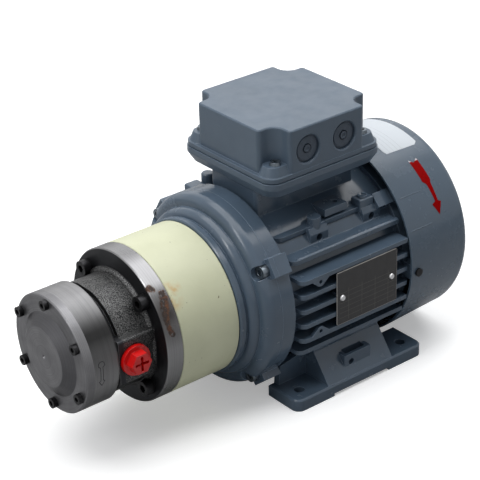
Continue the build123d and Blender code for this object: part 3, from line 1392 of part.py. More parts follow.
with BuildPart() as rating_plate_rivets:
    with BuildSketch(plate_seat.offset(plate_thick)) as heads:
        with Locations((-rivet_shift, 0), (rivet_shift, 0)):
            Circle(rivet_radius * 1.8)
    extrude(amount=0.9, taper=30)
    with BuildSketch(plate_seat.offset(plate_thick)) as shanks:
        with Locations((-rivet_shift, 0), (rivet_shift, 0)):
            Circle(rivet_radius)
    extrude(amount=-plate_thick - rivet_boss_depth + 2)
finish(rating_plate_rivets, "rating_plate_rivets")
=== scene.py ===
# %% [markdown]
# # Rotary vane pump with its motor
#
# The machine is a small vane pump on an electric motor, with a painted ring between them. Its
# solid parts are already packed as the frame. They could be modelled again here, but two models
# would drift apart, so they are loaded and stay where they are, and this file gives them their
# finishes and adds the fine detail. The shaft line runs along X, with the pump at the -X end and
# the fan at the +X end.

# %% Load the parts and keep their box
import bpy
import bmesh
from math import cos, pi, radians, sin, sqrt
from mathutils import Matrix, Vector


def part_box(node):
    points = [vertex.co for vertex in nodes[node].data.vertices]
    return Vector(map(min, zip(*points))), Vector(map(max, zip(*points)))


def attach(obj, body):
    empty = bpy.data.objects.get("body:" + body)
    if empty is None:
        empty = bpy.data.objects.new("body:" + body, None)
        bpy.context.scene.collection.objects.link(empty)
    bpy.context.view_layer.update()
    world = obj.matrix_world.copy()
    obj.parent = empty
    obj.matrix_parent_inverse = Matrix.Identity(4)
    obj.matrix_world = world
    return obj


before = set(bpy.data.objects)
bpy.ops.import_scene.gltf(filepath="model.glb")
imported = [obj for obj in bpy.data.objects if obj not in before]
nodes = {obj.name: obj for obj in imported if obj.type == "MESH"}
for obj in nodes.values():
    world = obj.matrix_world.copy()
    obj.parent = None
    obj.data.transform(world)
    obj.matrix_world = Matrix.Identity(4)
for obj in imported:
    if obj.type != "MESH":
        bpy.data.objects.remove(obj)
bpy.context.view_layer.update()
print("parts loaded:", len(nodes))

# %% Millimetres and the height of the shaft line
MM = 0.001
SHAFT_Z = 0.071
print("shaft height", SHAFT_Z / MM, "mm")

# %% [markdown]
# ## Camera
#
# The camera stands where the photograph was taken from. It could be placed by eye, but then few
# edges would fall on their spots in the picture. Its place was solved instead from the round rims
# and the foot holes, whose sizes are known. The picture is a crop, which the small lens shift
# repeats.

# %% Directions of the camera
CAMERA_PLACE = Vector((-639.89, -755.65, 602.49)) * MM
LOOKED_AT = Vector((-37.56, -1.03, 69.02)) * MM
ROLL = -0.02685
ahead = (LOOKED_AT - CAMERA_PLACE).normalized()
level = ahead.cross(Vector((0, 0, 1))).normalized()
upright = level.cross(ahead)
right = level * cos(ROLL) + upright * sin(ROLL)
up = upright * cos(ROLL) - level * sin(ROLL)
print("camera is", round((LOOKED_AT - CAMERA_PLACE).length, 3), "m from the machine")

# %% Camera
camera = bpy.data.objects.new("camera", bpy.data.cameras.new("camera"))
camera.matrix_world = Matrix((
    (right.x, up.x, -ahead.x, CAMERA_PLACE.x),
    (right.y, up.y, -ahead.y, CAMERA_PLACE.y),
    (right.z, up.z, -ahead.z, CAMERA_PLACE.z),
    (0, 0, 0, 1),
))
camera.data.sensor_width = 36
camera.data.lens = 125.77
camera.data.shift_x = -0.0255
camera.data.shift_y = 0.0704
camera.data.clip_start = 0.01
bpy.context.scene.collection.objects.link(camera)
bpy.context.scene.camera = camera
print("lens", round(camera.data.lens, 2), "mm")

# %% [markdown]
# ## Finishes
#
# Each finish is a small node tree. The nodes could be joined by hand in the shader editor. In a
# script it is clearer to have helpers that add one node each and hand back its output, because
# the same few steps come again in every finish. Patterns read Object coordinates. These are the
# part's own metres, so a grain of one millimetre is one millimetre on every piece.

# %% Helpers: a finish, its sockets and arithmetic
def new_finish(name, colour, metal, rough):
    """Material with one Principled shader and the values that are the same all over it."""
    finish = bpy.data.materials.new(name)
    finish.use_nodes = True
    shader = finish.node_tree.nodes["Principled BSDF"]
    shader.inputs["Base Color"].default_value = (*colour, 1)
    shader.inputs["Metallic"].default_value = metal
    shader.inputs["Roughness"].default_value = rough
    return finish, finish.node_tree, shader


def join(tree, value, socket):
    """Feed a socket from a node's output, or set it to a number or colour."""
    if isinstance(value, bpy.types.NodeSocket):
        tree.links.new(value, socket)
    else:
        socket.default_value = value


def calc(tree, operation, first, second=0.0, clamp=False):
    """One step of arithmetic on numbers or outputs."""
    node = tree.nodes.new("ShaderNodeMath")
    node.operation = operation
    node.use_clamp = clamp
    join(tree, first, node.inputs[0])
    join(tree, second, node.inputs[1])
    return node.outputs[0]


print("first helpers ready")

# %% Helpers: places and noise
def place_in_part(tree):
    """The place of a point in the part, in metres."""
    return tree.nodes.new("ShaderNodeTexCoord").outputs["Object"]


def split_axes(tree, where):
    """X, Y and Z of a place."""
    node = tree.nodes.new("ShaderNodeSeparateXYZ")
    tree.links.new(where, node.inputs[0])
    return node.outputs["X"], node.outputs["Y"], node.outputs["Z"]


def noise(tree, where, size_mm, detail=3.0, rough=0.55):
    """Noise whose lumps are about size_mm across."""
    node = tree.nodes.new("ShaderNodeTexNoise")
    node.inputs["Scale"].default_value = 1 / (size_mm * MM)
    node.inputs["Detail"].default_value = detail
    node.inputs["Roughness"].default_value = rough
    tree.links.new(where, node.inputs["Vector"])
    return node.outputs["Fac"]


print("place and noise helpers ready")

# %% Helpers: ramps and blends
NOISE_LOW, NOISE_HIGH = 0.3, 0.7


def ramp(tree, value, low, high, low_out=0.0, high_out=1.0):
    """Map a value from low..high to low_out..high_out."""
    node = tree.nodes.new("ShaderNodeMapRange")
    join(tree, value, node.inputs["Value"])
    node.inputs["From Min"].default_value = low
    node.inputs["From Max"].default_value = high
    node.inputs["To Min"].default_value = low_out
    node.inputs["To Max"].default_value = high_out
    return node.outputs["Result"]


def fall(tree, value, low, high):
    """1 up to low, fading to 0 at high."""
    return ramp(tree, value, low, high, 1.0, 0.0)


def spread(tree, lumps, low_out=0.0, high_out=1.0):
    """Stretch the middle of a noise, where nearly all of it lies, to low_out..high_out."""
    return ramp(tree, lumps, NOISE_LOW, NOISE_HIGH, low_out, high_out)


def blend_colour(tree, share, first, second):
    """The first colour where share is 0, the second where it is 1."""
    node = tree.nodes.new("ShaderNodeMix")
    node.data_type = "RGBA"
    join(tree, share, node.inputs["Factor"])
    for colour, socket in ((first, node.inputs["A"]), (second, node.inputs["B"])):
        join(tree, colour if isinstance(colour, bpy.types.NodeSocket) else (*colour, 1), socket)
    return node.outputs["Result"]


print("ramp and blend helpers ready")

# %% Helpers: relief and rounded edges
EDGE_SAMPLES = 6
EDGE_TURNED, EDGE_FLAT = 0.80, 0.97


def rounded_normal(tree, radius_mm):
    """Surface normal that rounds sharp edges by a radius."""
    node = tree.nodes.new("ShaderNodeBevel")
    node.samples = EDGE_SAMPLES
    node.inputs["Radius"].default_value = radius_mm * MM
    return node.outputs["Normal"]


def bump(tree, height, depth_mm, strength, round_mm=0.0):
    """Normal from a height. round_mm also rounds sharp edges by that radius."""
    node = tree.nodes.new("ShaderNodeBump")
    node.inputs["Strength"].default_value = strength
    node.inputs["Distance"].default_value = depth_mm * MM
    join(tree, height, node.inputs["Height"])
    if round_mm > 0:
        tree.links.new(rounded_normal(tree, round_mm), node.inputs["Normal"])
    return node.outputs["Normal"]


def sharp_edges(tree, width_mm):
    """1 on edges, where the rounded normal turns away from the true one, and 0 on faces."""
    likeness = tree.nodes.new("ShaderNodeVectorMath")
    likeness.operation = "DOT_PRODUCT"
    tree.links.new(rounded_normal(tree, width_mm), likeness.inputs[0])
    true = tree.nodes.new("ShaderNodeNewGeometry")
    tree.links.new(true.outputs["True Normal"], likeness.inputs[1])
    return fall(tree, likeness.outputs["Value"], EDGE_TURNED, EDGE_FLAT)


print("relief helpers ready")

# %% [markdown]
# ### Machine paint
#
# The motor is cast aluminium under a blue-grey gloss coat. Seen close, the coat has slow clouds
# of colour and follows the soft waves of the casting. Every edge is painted lighter, partly
# because the coat is thin there and partly as a painted highlight. One plain colour would look
# like plastic. Lighter edges could be painted by hand, but the difference of the rounded and the
# true normal finds every edge by itself, on all castings at once.

# %% Machine paint
CLOUD_MM, DULL_MM, WAVE_MM, WAVE_DEPTH_MM = 30, 9, 6, 0.006
# Lighter edges, partly thin coat and partly painted highlight: width, share, gain and lift.
THIN_HIGHLIGHT_MM, THIN_HIGHLIGHT_SHARE, THIN_HIGHLIGHT_GAIN, THIN_HIGHLIGHT_LIFT = 0.7, 0.65, 2.2, 0.01
GLOSSIER, DULLER = 0.06, 0.10
PAINT_SHINE = 0.40


def machine_paint(name, colour, rough=0.19, round_mm=0.6, cloud=0.09):
    """Gloss coat. cloud is how far its colour goes lighter and darker."""
    finish, tree, shader = new_finish(name, colour, 0.0, rough)
    shader.inputs["Specular IOR Level"].default_value = PAINT_SHINE
    where = place_in_part(tree)
    lighter = tuple(c * (1 + cloud) for c in colour)
    darker = tuple(c * (1 - cloud) for c in colour)
    coat = blend_colour(tree, spread(tree, noise(tree, where, CLOUD_MM)), darker, lighter)
    # Edge colour: thin coat and painted highlight.
    thin_highlight = tuple(c * THIN_HIGHLIGHT_GAIN + THIN_HIGHLIGHT_LIFT for c in colour)
    edges = calc(tree, "MULTIPLY", sharp_edges(tree, THIN_HIGHLIGHT_MM), THIN_HIGHLIGHT_SHARE)
    tree.links.new(blend_colour(tree, edges, coat, thin_highlight), shader.inputs["Base Color"])
    dull = spread(tree, noise(tree, where, DULL_MM), rough - GLOSSIER, rough + DULLER)
    tree.links.new(dull, shader.inputs["Roughness"])
    waves = bump(tree, noise(tree, where, WAVE_MM), WAVE_DEPTH_MM, 0.8, round_mm)
    tree.links.new(waves, shader.inputs["Normal"])
    return finish


motor_paint = machine_paint("motor_paint", (0.073, 0.105, 0.146))
box_paint = machine_paint("box_paint", (0.077, 0.109, 0.149), rough=0.34, round_mm=1.0, cloud=0.06)
cowl_paint = machine_paint("cowl_paint", (0.072, 0.104, 0.142), rough=0.22, cloud=0.04)
# The entry plugs carry the box's blue-grey coat, darkened as painted shade for their recesses.
shaded_plug_paint = machine_paint("shaded_plug_paint", (0.042, 0.060, 0.086), rough=0.45)
print("four paints made")

# %% [markdown]
# ### Turned steel, cast skin and rust on the pump body
#
# The pump body is one casting. Its cylinder and flange rim are turned bright, the neck keeps its
# rough dark skin, and a run of rust lies on the rim. Each zone could be a material slot of its
# own, but then its border would follow the faces of the mesh. One finish paints all of it here,
# by the place along the shaft line and the distance from it, because that is how the lathe left
# it.

# %% Helpers: places round the shaft line
def round_the_shaft(tree, where):
    """Place along the shaft line, distance from it, and the two parts of that distance."""
    along, side, above_floor = split_axes(tree, where)
    height = calc(tree, "SUBTRACT", above_floor, SHAFT_Z)
    square = calc(tree, "ADD", calc(tree, "MULTIPLY", side, side),
                  calc(tree, "MULTIPLY", height, height))
    return along, calc(tree, "SQRT", square), side, height


def tool_marks(tree, along, radius, size_mm):
    """Noise that is the same all the way round: the rings a turning tool leaves."""
    where = tree.nodes.new("ShaderNodeCombineXYZ")
    tree.links.new(along, where.inputs["X"])
    tree.links.new(radius, where.inputs["Y"])
    return noise(tree, where.outputs[0], size_mm, detail=2.0)


def patch(tree, where, centre_mm, size_mm, soft):
    """1 inside a round patch about a point. The outer share soft of it fades to 0."""
    away = tree.nodes.new("ShaderNodeVectorMath")
    away.operation = "DISTANCE"
    tree.links.new(where, away.inputs[0])
    away.inputs[1].default_value = Vector(centre_mm) * MM
    return fall(tree, away.outputs["Value"], size_mm * MM * (1 - soft), size_mm * MM)


print("shaft line helpers ready")

# %% [markdown]
# ### Zones of the pump body
#
# The lathe stopped at straight lines. The cylinder, the flat faces beside the neck and the flange
# rim are machined, and what lies between them is cast. The faces of each zone could be picked in
# the editor. Their borders are known distances along the shaft line or away from it, so a short
# ramp at each border is exact, and its width makes the border a little soft.

# %% Zones of the pump body: each border runs from one value to the other, in metres
CYLINDER_END = (-0.1712, -0.1708)
SKIN_START = (-0.1709, -0.1706)
SHOULDER_END = (-0.1672, -0.1669)
FLANGE_FACE = (-0.14400, -0.14390)
RIM_START = (-0.1434, -0.1430)
RIM_RADIUS = (0.0501, 0.0505)


def pump_zones(tree, along, radius):
    """Shares of the turned cylinder, of the cast skin, and of the flat faces next to the skin."""
    cylinder = fall(tree, along, *CYLINDER_END)
    before_rim = calc(tree, "MINIMUM", fall(tree, along, *RIM_START),
                      fall(tree, radius, *RIM_RADIUS))
    cast = calc(tree, "MULTIPLY", ramp(tree, along, *SKIN_START), before_rim)
    flat = calc(tree, "MAXIMUM", ramp(tree, along, *FLANGE_FACE),
                fall(tree, along, *SHOULDER_END))
    return cylinder, cast, flat


print("cast skin from", SKIN_START[0] / MM, "to", RIM_START[1] / MM, "mm")

# %% [markdown]
# ### Bright metal with painted shade and a painted dark reflection
#
# The turned zones are light grey with fine rings. A patch of painted shade darkens the rim, and a
# band of painted dark reflection darkens the side of the cylinder that faces the camera. Both
# could be painted on a picture. A soft patch about a point and a range of angles round the shaft
# line need none, and they follow the round surface.

# %% Bright metal of the pump body, with painted shade on the rim and a painted dark reflection on the cylinder
# Painted shade on the flange rim: a soft dark patch about a point.
RIM_SHADE_PLACE, RIM_SHADE_MM, RIM_SHADE_SOFT, RIM_SHADE_SHARE = (-138, -45, 96), 22, 0.9, 0.9
# Painted dark reflection on the cylinder: a band of angles round the shaft line.
DARK_REFLECTION_MIDDLE, DARK_REFLECTION_FULL, DARK_REFLECTION_NONE, DARK_REFLECTION_SHARE = radians(55), radians(3), radians(50), 0.92


def bright_metal(tree, where, rings, cylinder, side, height):
    """Turned colour with painted shade; the painted dark reflection's place is an angle from the
    top to the plate side.
    """
    bright = blend_colour(tree, spread(tree, rings), (0.18, 0.18, 0.185), (0.225, 0.225, 0.23))
    # Painted shade: a soft dark patch on the rim.
    shade = patch(tree, where, RIM_SHADE_PLACE, RIM_SHADE_MM, RIM_SHADE_SOFT)
    shade = calc(tree, "MULTIPLY", shade, RIM_SHADE_SHARE)
    bright = blend_colour(tree, shade, bright, (0.030, 0.026, 0.024))
    # Painted dark reflection: a band of angles on the cylinder's side.
    angle = calc(tree, "ARCTAN2", calc(tree, "MULTIPLY", side, -1.0), height)
    from_middle = calc(tree, "ABSOLUTE", calc(tree, "SUBTRACT", angle, DARK_REFLECTION_MIDDLE))
    dark_reflection = calc(tree, "MULTIPLY", cylinder,
               ramp(tree, from_middle, DARK_REFLECTION_FULL, DARK_REFLECTION_NONE, DARK_REFLECTION_SHARE, 0.0))
    return blend_colour(tree, dark_reflection, bright, (0.016, 0.016, 0.016))


print("dark smear reaches", RIM_SHADE_MM, "mm")

# %% [markdown]
# ### Rust on the rim
#
# Water has left a run of rust on the edge of the flange. A single brown line would look drawn.
# The run is a row of round patches of several sizes, like the drops that made it. A fine noise
# breaks them up, and a larger one makes the rust brown in some places and nearly black in others.

# %% Rust on the flange rim: places and sizes of its drops in mm, from the top down
RUST_DROPS = (
    ((-142.0, -32.5, 110.3), 3.2), ((-140.5, -33.6, 109.4), 2.4), ((-135.6, -36.6, 106.5), 3.2),
    ((-136.2, -38.6, 104.3), 4.0), ((-137.4, -40.6, 101.8), 4.0), ((-138.4, -42.4, 99.3), 4.0),
    ((-139.3, -44.2, 96.4), 3.2), ((-139.8, -45.6, 93.8), 2.8), ((-140.0, -46.8, 91.3), 2.4),
    ((-139.8, -47.9, 88.6), 2.4), ((-139.0, -48.8, 86.0), 2.8), ((-138.2, -49.3, 84.3), 2.4),
)
DROP_SOFT = 0.7
BREAK_MM, BREAK_FROM, BREAK_TO = 2.4, 0.36, 0.50
BROWN_MM, BROWN_FROM, BROWN_TO = 4.5, 0.48, 0.62


def rust_run(tree, where):
    """Share of rust, broken up by noise, and its colour."""
    run = 0.0
    for centre, size in RUST_DROPS:
        run = calc(tree, "MAXIMUM", run, patch(tree, where, centre, size, DROP_SOFT))
    broken = noise(tree, where, BREAK_MM, detail=6, rough=0.7)
    broken = ramp(tree, broken, BREAK_FROM, BREAK_TO)
    brown = noise(tree, where, BROWN_MM, detail=5, rough=0.65)
    brown = ramp(tree, brown, BROWN_FROM, BROWN_TO)
    return (calc(tree, "MULTIPLY", run, broken, clamp=True),
            blend_colour(tree, brown, (0.020, 0.010, 0.006), (0.105, 0.038, 0.013)))


print("rust drops:", len(RUST_DROPS))

# %% Pump body finish
RING_MM, SKIN_MM, DULL_CLOUD_MM = 0.7, 0.65, 14
SKIN_LOW, SKIN_HIGH, RUST_LOW, RUST_HIGH = 0.40, 0.62, 0.08, 0.55
SKIN_DULL, CYLINDER_DULL, RUST_DULL = 0.16, 0.09, 0.4
RING_RELIEF, SKIN_DEPTH_MM = 0.008, 0.30


def pump_body_finish():
    """All zones of the pump body in one finish."""
    finish, tree, shader = new_finish("pump_body_metal", (0.3, 0.3, 0.3), 1.0, 0.4)
    where = place_in_part(tree)
    along, radius, side, height = round_the_shaft(tree, where)
    cylinder, cast, flat = pump_zones(tree, along, radius)
    rings = tool_marks(tree, along, radius, RING_MM)
    grain = noise(tree, where, SKIN_MM)
    skin = blend_colour(tree, ramp(tree, grain, SKIN_LOW, SKIN_HIGH),
                        (0.014, 0.015, 0.016), (0.125, 0.125, 0.125))
    skin = blend_colour(tree, flat, skin, (0.030, 0.031, 0.034))
    bright = bright_metal(tree, where, rings, cylinder, side, height)
    metal = blend_colour(tree, cast, bright, skin)
    rust, rust_colour = rust_run(tree, where)
    metal = blend_colour(tree, ramp(tree, rust, RUST_LOW, RUST_HIGH), metal, rust_colour)
    tree.links.new(metal, shader.inputs["Base Color"])
    tree.links.new(calc(tree, "SUBTRACT", 1.0, rust), shader.inputs["Metallic"])
    rough = spread(tree, noise(tree, where, DULL_CLOUD_MM), 0.24, 0.34)
    for share, dull in ((cast, SKIN_DULL), (cylinder, CYLINDER_DULL), (rust, RUST_DULL)):
        rough = calc(tree, "ADD", rough, calc(tree, "MULTIPLY", share, dull))
    tree.links.new(rough, shader.inputs["Roughness"])
    lumps = calc(tree, "MULTIPLY", grain, calc(tree, "SUBTRACT", cast, flat, clamp=True))
    relief = calc(tree, "ADD", lumps, calc(tree, "MULTIPLY", rings, RING_RELIEF))
    tree.links.new(bump(tree, relief, SKIN_DEPTH_MM, 0.9, 0.4), shader.inputs["Normal"])
    return finish


pump_metal = pump_body_finish()
print("pump body finish has", len(pump_metal.node_tree.nodes), "nodes")

# %% [markdown]
# ### Turned and drawn metals
#
# The cover, the screws and most pieces inside are metal that a tool has gone round. An
# anisotropic shader could stretch their highlights, but it shows no single ring. Here the rings
# are noise that doesn't change on the way round the shaft line, in colour and in a very shallow
# relief, and larger smudges change the gloss. One function makes all the metals from a dark and a
# light colour.

# %% Turned metal
METAL_RELIEF_MM, METAL_ROUND_MM = 0.008, 0.3


def turned_metal(name, dark, light, rough, ring_mm=0.5, smudge_mm=12):
    """Metal with rings round the shaft line and smudges in its gloss."""
    finish, tree, shader = new_finish(name, light, 1.0, rough)
    where = place_in_part(tree)
    along, radius = round_the_shaft(tree, where)[:2]
    rings = tool_marks(tree, along, radius, ring_mm)
    smudge = noise(tree, where, smudge_mm)
    share = calc(tree, "MULTIPLY", spread(tree, rings, 0.4, 1.0), spread(tree, smudge, 0.6, 1.0))
    tree.links.new(blend_colour(tree, share, dark, light), shader.inputs["Base Color"])
    tree.links.new(spread(tree, smudge, rough + 0.08, rough - 0.05), shader.inputs["Roughness"])
    tree.links.new(bump(tree, rings, METAL_RELIEF_MM, 0.7, METAL_ROUND_MM),
                   shader.inputs["Normal"])
    return finish


ground_steel = turned_metal("ground_steel", (0.38, 0.38, 0.38), (0.55, 0.55, 0.55), 0.25)
core_steel = turned_metal("core_steel", (0.20, 0.20, 0.21), (0.34, 0.34, 0.35), 0.45, ring_mm=0.4)
hub_metal = turned_metal("hub_aluminium", (0.45, 0.45, 0.46), (0.66, 0.66, 0.67), 0.33)
bronze = turned_metal("bush_bronze", (0.30, 0.16, 0.06), (0.52, 0.31, 0.13), 0.35)
brass = turned_metal("terminal_brass", (0.45, 0.32, 0.11), (0.72, 0.54, 0.24), 0.28)
copper = turned_metal("winding_copper", (0.22, 0.07, 0.03), (0.42, 0.16, 0.07), 0.45, ring_mm=1.0)
print("metals of the inside made")

# %% Metals of the screws, with small smudges
zinc = turned_metal("zinc_plate", (0.42, 0.42, 0.40), (0.62, 0.61, 0.57), 0.32, smudge_mm=4)
black_steel = turned_metal("blackened_steel", (0.012, 0.012, 0.013), (0.035, 0.035, 0.037), 0.38,
                           smudge_mm=3)
grey_steel = turned_metal("grey_steel", (0.10, 0.12, 0.14), (0.20, 0.23, 0.26), 0.30, smudge_mm=3)
print("metals of the screws made")

# %% Steel of the cover, with a painted dark reflection on the ring of its slope
RING_EDGE_MM = 0.3


def paint_dark_reflection_ring(finish, inner_mm, outer_mm, share):
    """Make a ring round the shaft line darker, as a painted dark reflection on the slope."""
    tree = finish.node_tree
    colour = tree.nodes["Principled BSDF"].inputs["Base Color"]
    radius = round_the_shaft(tree, place_in_part(tree))[1]
    start, end = (((edge - RING_EDGE_MM) * MM, (edge + RING_EDGE_MM) * MM)
                  for edge in (inner_mm, outer_mm))
    inside = calc(tree, "MULTIPLY", ramp(tree, radius, *start), fall(tree, radius, *end))
    # Painted dark reflection on the slope between the two radii.
    dark = calc(tree, "MULTIPLY", inside, share)
    before = colour.links[0].from_socket
    tree.links.new(blend_colour(tree, dark, before, (0.045, 0.045, 0.05)), colour)


cover_steel = turned_metal("cover_steel", (0.10, 0.10, 0.107), (0.205, 0.205, 0.212), 0.42)
paint_dark_reflection_ring(cover_steel, 20.0, 27.7, 0.6)
print("cover steel made")

# %% [markdown]
# ### Lantern paint
#
# The ring between pump and motor is painted cream. It has small dark specks, and a brown stain
# where water ran off the rusty rim. Both could be drawn on a picture that is wrapped round the
# ring. Noise cut off near its top gives specks of any number without one, and two soft patches
# place the stain.

# %% Lantern paint
SPECK_MM, SPECK_FROM, SPECK_TO = 2.2, 0.765, 0.79
STAINS = (((-127.8, -36.4, 106.7), 7), ((-131.3, -40.6, 101.9), 9))
STAIN_SOFT, STAIN_SHARE, SPECK_SHARE = 0.8, 0.7, 0.8


def lantern_paint():
    """Cream coat with specks and a stain."""
    finish, tree, shader = new_finish("lantern_cream", (0.50, 0.51, 0.36), 0.0, 0.42)
    where = place_in_part(tree)
    clouds = noise(tree, where, 25)
    coat = blend_colour(tree, spread(tree, clouds), (0.55, 0.565, 0.39), (0.61, 0.625, 0.44))
    upper, lower = (patch(tree, where, centre, size, STAIN_SOFT) for centre, size in STAINS)
    stain = calc(tree, "MULTIPLY", calc(tree, "MAXIMUM", upper, lower),
                 ramp(tree, noise(tree, where, 6, detail=5), 0.42, 0.62))
    coat = blend_colour(tree, calc(tree, "MULTIPLY", stain, STAIN_SHARE), coat, (0.56, 0.33, 0.10))
    specks = ramp(tree, noise(tree, where, SPECK_MM, detail=1), SPECK_FROM, SPECK_TO)
    specks = calc(tree, "MULTIPLY", specks, SPECK_SHARE)
    coat = blend_colour(tree, specks, coat, (0.13, 0.11, 0.05))
    tree.links.new(coat, shader.inputs["Base Color"])
    tree.links.new(spread(tree, clouds, 0.36, 0.46), shader.inputs["Roughness"])
    tree.links.new(bump(tree, noise(tree, where, 2.5), 0.04, 0.8, 0.5), shader.inputs["Normal"])
    return finish


cream = lantern_paint()
print("lantern paint made")

# %% [markdown]
# ### Plastics and rubbers
#
# The red transport plug is glossy moulded plastic. The fan, the terminal block, the seals, the
# coupling's spider and the carbon vanes are duller. A plain colour with a gloss would do from far
# off. Close by, moulded pieces show where the melt flowed, so a slow noise shades the colour and
# the gloss a little, and a fine one gives the grain of the mould.

# %% Plastics and rubbers
FLOW_MM, MOULD_ROUND_MM, FLOW_SHADE = 8, 0.4, 0.85


def moulded(name, colour, rough, grain_mm=0.8, depth_mm=0.02):
    """Plastic or rubber with flow shading and a fine grain."""
    finish, tree, shader = new_finish(name, colour, 0.0, rough)
    where = place_in_part(tree)
    flow = noise(tree, where, FLOW_MM)
    shaded = tuple(c * FLOW_SHADE for c in colour)
    tree.links.new(blend_colour(tree, spread(tree, flow), shaded, colour),
                   shader.inputs["Base Color"])
    tree.links.new(spread(tree, flow, rough - 0.04, rough + 0.06), shader.inputs["Roughness"])
    tree.links.new(bump(tree, noise(tree, where, grain_mm), depth_mm, 0.7, MOULD_ROUND_MM),
                   shader.inputs["Normal"])
    return finish


red_plastic = moulded("red_plastic", (0.64, 0.001, 0.001), 0.34, grain_mm=3, depth_mm=0.01)
dark_plastic = moulded("dark_plastic", (0.045, 0.050, 0.058), 0.5)
seal_rubber = moulded("seal_rubber", (0.022, 0.022, 0.024), 0.7)
spider_rubber = moulded("spider_rubber", (0.50, 0.24, 0.04), 0.5)
carbon = moulded("vane_carbon", (0.035, 0.035, 0.037), 0.45)
print("plastics and rubbers made")

# %% [markdown]
# ### Rating plate
#
# The plate is thin aluminium printed black. The bare metal shows as a narrow line at its edge,
# and faint ruled fields cover all but its top. Rulings could be thin boxes of their own, but ink
# has no height. Rows and columns come instead from the fraction of a place divided by their
# spacing.

# %% Rating plate finish
plate_low, plate_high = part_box("rating_plate")
PLATE_X = 0.0045
BARE_EDGE = 0.00025
EDGE_X = (plate_high[0] - plate_low[0]) / 2 - BARE_EDGE
EDGE_Z = (plate_high[2] - plate_low[2]) / 2 - BARE_EDGE
ROW, COLUMN, HAIR = 0.0036, 0.0115, 0.0001
MARGIN_X, MARGIN_Z, FIELDS_TOP = 0.0022, 0.0016, 0.0056
ROW_LINE, COLUMN_LINE, FIELD_INK = (0.90, 0.94), (0.965, 0.975), 0.5


def ruled_fields(tree, split, across, above):
    """1 on the ruled lines of the plate, inside its margins."""
    from_shaft = calc(tree, "SUBTRACT", split[2], SHAFT_Z)
    row = calc(tree, "FRACT", calc(tree, "DIVIDE", from_shaft, ROW))
    column = calc(tree, "FRACT", calc(tree, "DIVIDE", split[0], COLUMN))
    lines = calc(tree, "MAXIMUM", ramp(tree, row, *ROW_LINE), ramp(tree, column, *COLUMN_LINE))
    for value, end in ((across, EDGE_X - MARGIN_X), (split[2], SHAFT_Z + FIELDS_TOP),
                       (above, EDGE_Z - MARGIN_Z)):
        lines = calc(tree, "MULTIPLY", lines, fall(tree, value, end, end + HAIR))
    return lines


def plate_print():
    """Black print with a bare edge."""
    finish, tree, shader = new_finish("plate_black", (0.02, 0.02, 0.02), 0.0, 0.42)
    where = place_in_part(tree)
    split = split_axes(tree, where)
    across = calc(tree, "ABSOLUTE", calc(tree, "SUBTRACT", split[0], PLATE_X))
    above = calc(tree, "ABSOLUTE", calc(tree, "SUBTRACT", split[2], SHAFT_Z))
    edge = calc(tree, "MAXIMUM", ramp(tree, across, EDGE_X, EDGE_X + HAIR),
                ramp(tree, above, EDGE_Z, EDGE_Z + HAIR))
    fields = ruled_fields(tree, split, across, above)
    fields = calc(tree, "MULTIPLY", fields, FIELD_INK, clamp=True)
    printed = blend_colour(tree, fields, (0.009, 0.0085, 0.0095), (0.11, 0.10, 0.09))
    tree.links.new(blend_colour(tree, edge, printed, (0.30, 0.29, 0.28)),
                   shader.inputs["Base Color"])
    tree.links.new(spread(tree, noise(tree, where, 6), 0.36, 0.5), shader.inputs["Roughness"])
    tree.links.new(bump(tree, noise(tree, where, 1.0), 0.01, 0.6), shader.inputs["Normal"])
    return finish


plate_black = plate_print()
print("plate is", round((plate_high[0] - plate_low[0]) / MM, 1), "mm long")

# %% [markdown]
# ### Sticker films and the stamped mark
#
# The cowl carries a white paper label with ruled lines and a red film arrow whose tail shows the
# white backing. The arrow on the pump is stamped, so its outline looks dark. Their colours could
# be split over several small pieces. One finish for each keeps a sticker one thin sheet, as it
# really is.

# %% Sticker films and the stamped mark
LABEL_WHITE, FILM_RED = (0.58, 0.62, 0.66), (0.26, 0.001, 0.001)
LABEL_ROW, LABEL_LINE, LINES_END, LINE_INK = 0.0036, (0.90, 0.93), (0.0745, 0.0748), 0.6
TAIL_START = (-0.0374, -0.0371)


def sticker(name, colour, shine, rough=0.5):
    """Film whose gloss changes a little from place to place."""
    finish, tree, shader = new_finish(name, colour, 0.0, rough)
    shader.inputs["Specular IOR Level"].default_value = shine
    where = place_in_part(tree)
    tree.links.new(spread(tree, noise(tree, where, 5), rough - 0.05, rough + 0.08),
                   shader.inputs["Roughness"])
    return finish, tree, shader.inputs["Base Color"], split_axes(tree, where)


def ruled_label():
    """White paper label with faint ruled lines."""
    finish, tree, colour, split = sticker("label_white", LABEL_WHITE, 0.5)
    row = calc(tree, "FRACT", calc(tree, "DIVIDE", split[0], LABEL_ROW))
    line = calc(tree, "MULTIPLY", ramp(tree, row, *LABEL_LINE),
                fall(tree, split[0], *LINES_END))
    line = calc(tree, "MULTIPLY", line, LINE_INK, clamp=True)
    tree.links.new(blend_colour(tree, line, LABEL_WHITE, (0.33, 0.35, 0.38)), colour)
    return finish


def red_film():
    """Red film that ends in two white points, where its backing shows."""
    finish, tree, colour, split = sticker("arrow_red", FILM_RED, 0.03)
    tail = ramp(tree, split[1], *TAIL_START)
    tree.links.new(blend_colour(tree, tail, FILM_RED, (0.70, 0.66, 0.68)), colour)
    return finish


label_white = ruled_label()
arrow_red = red_film()
stamped_dark = turned_metal("stamped_dark", (0.03, 0.03, 0.032), (0.06, 0.06, 0.065), 0.5)
print("sticker finishes made")

# %% [markdown]
# ### Give every part its finish
#
# A loaded part has a plain stand-in material. It could be changed in place, but a finish is
# shared by many parts, so each part's slot is cleared and gets the finish that the real one has.

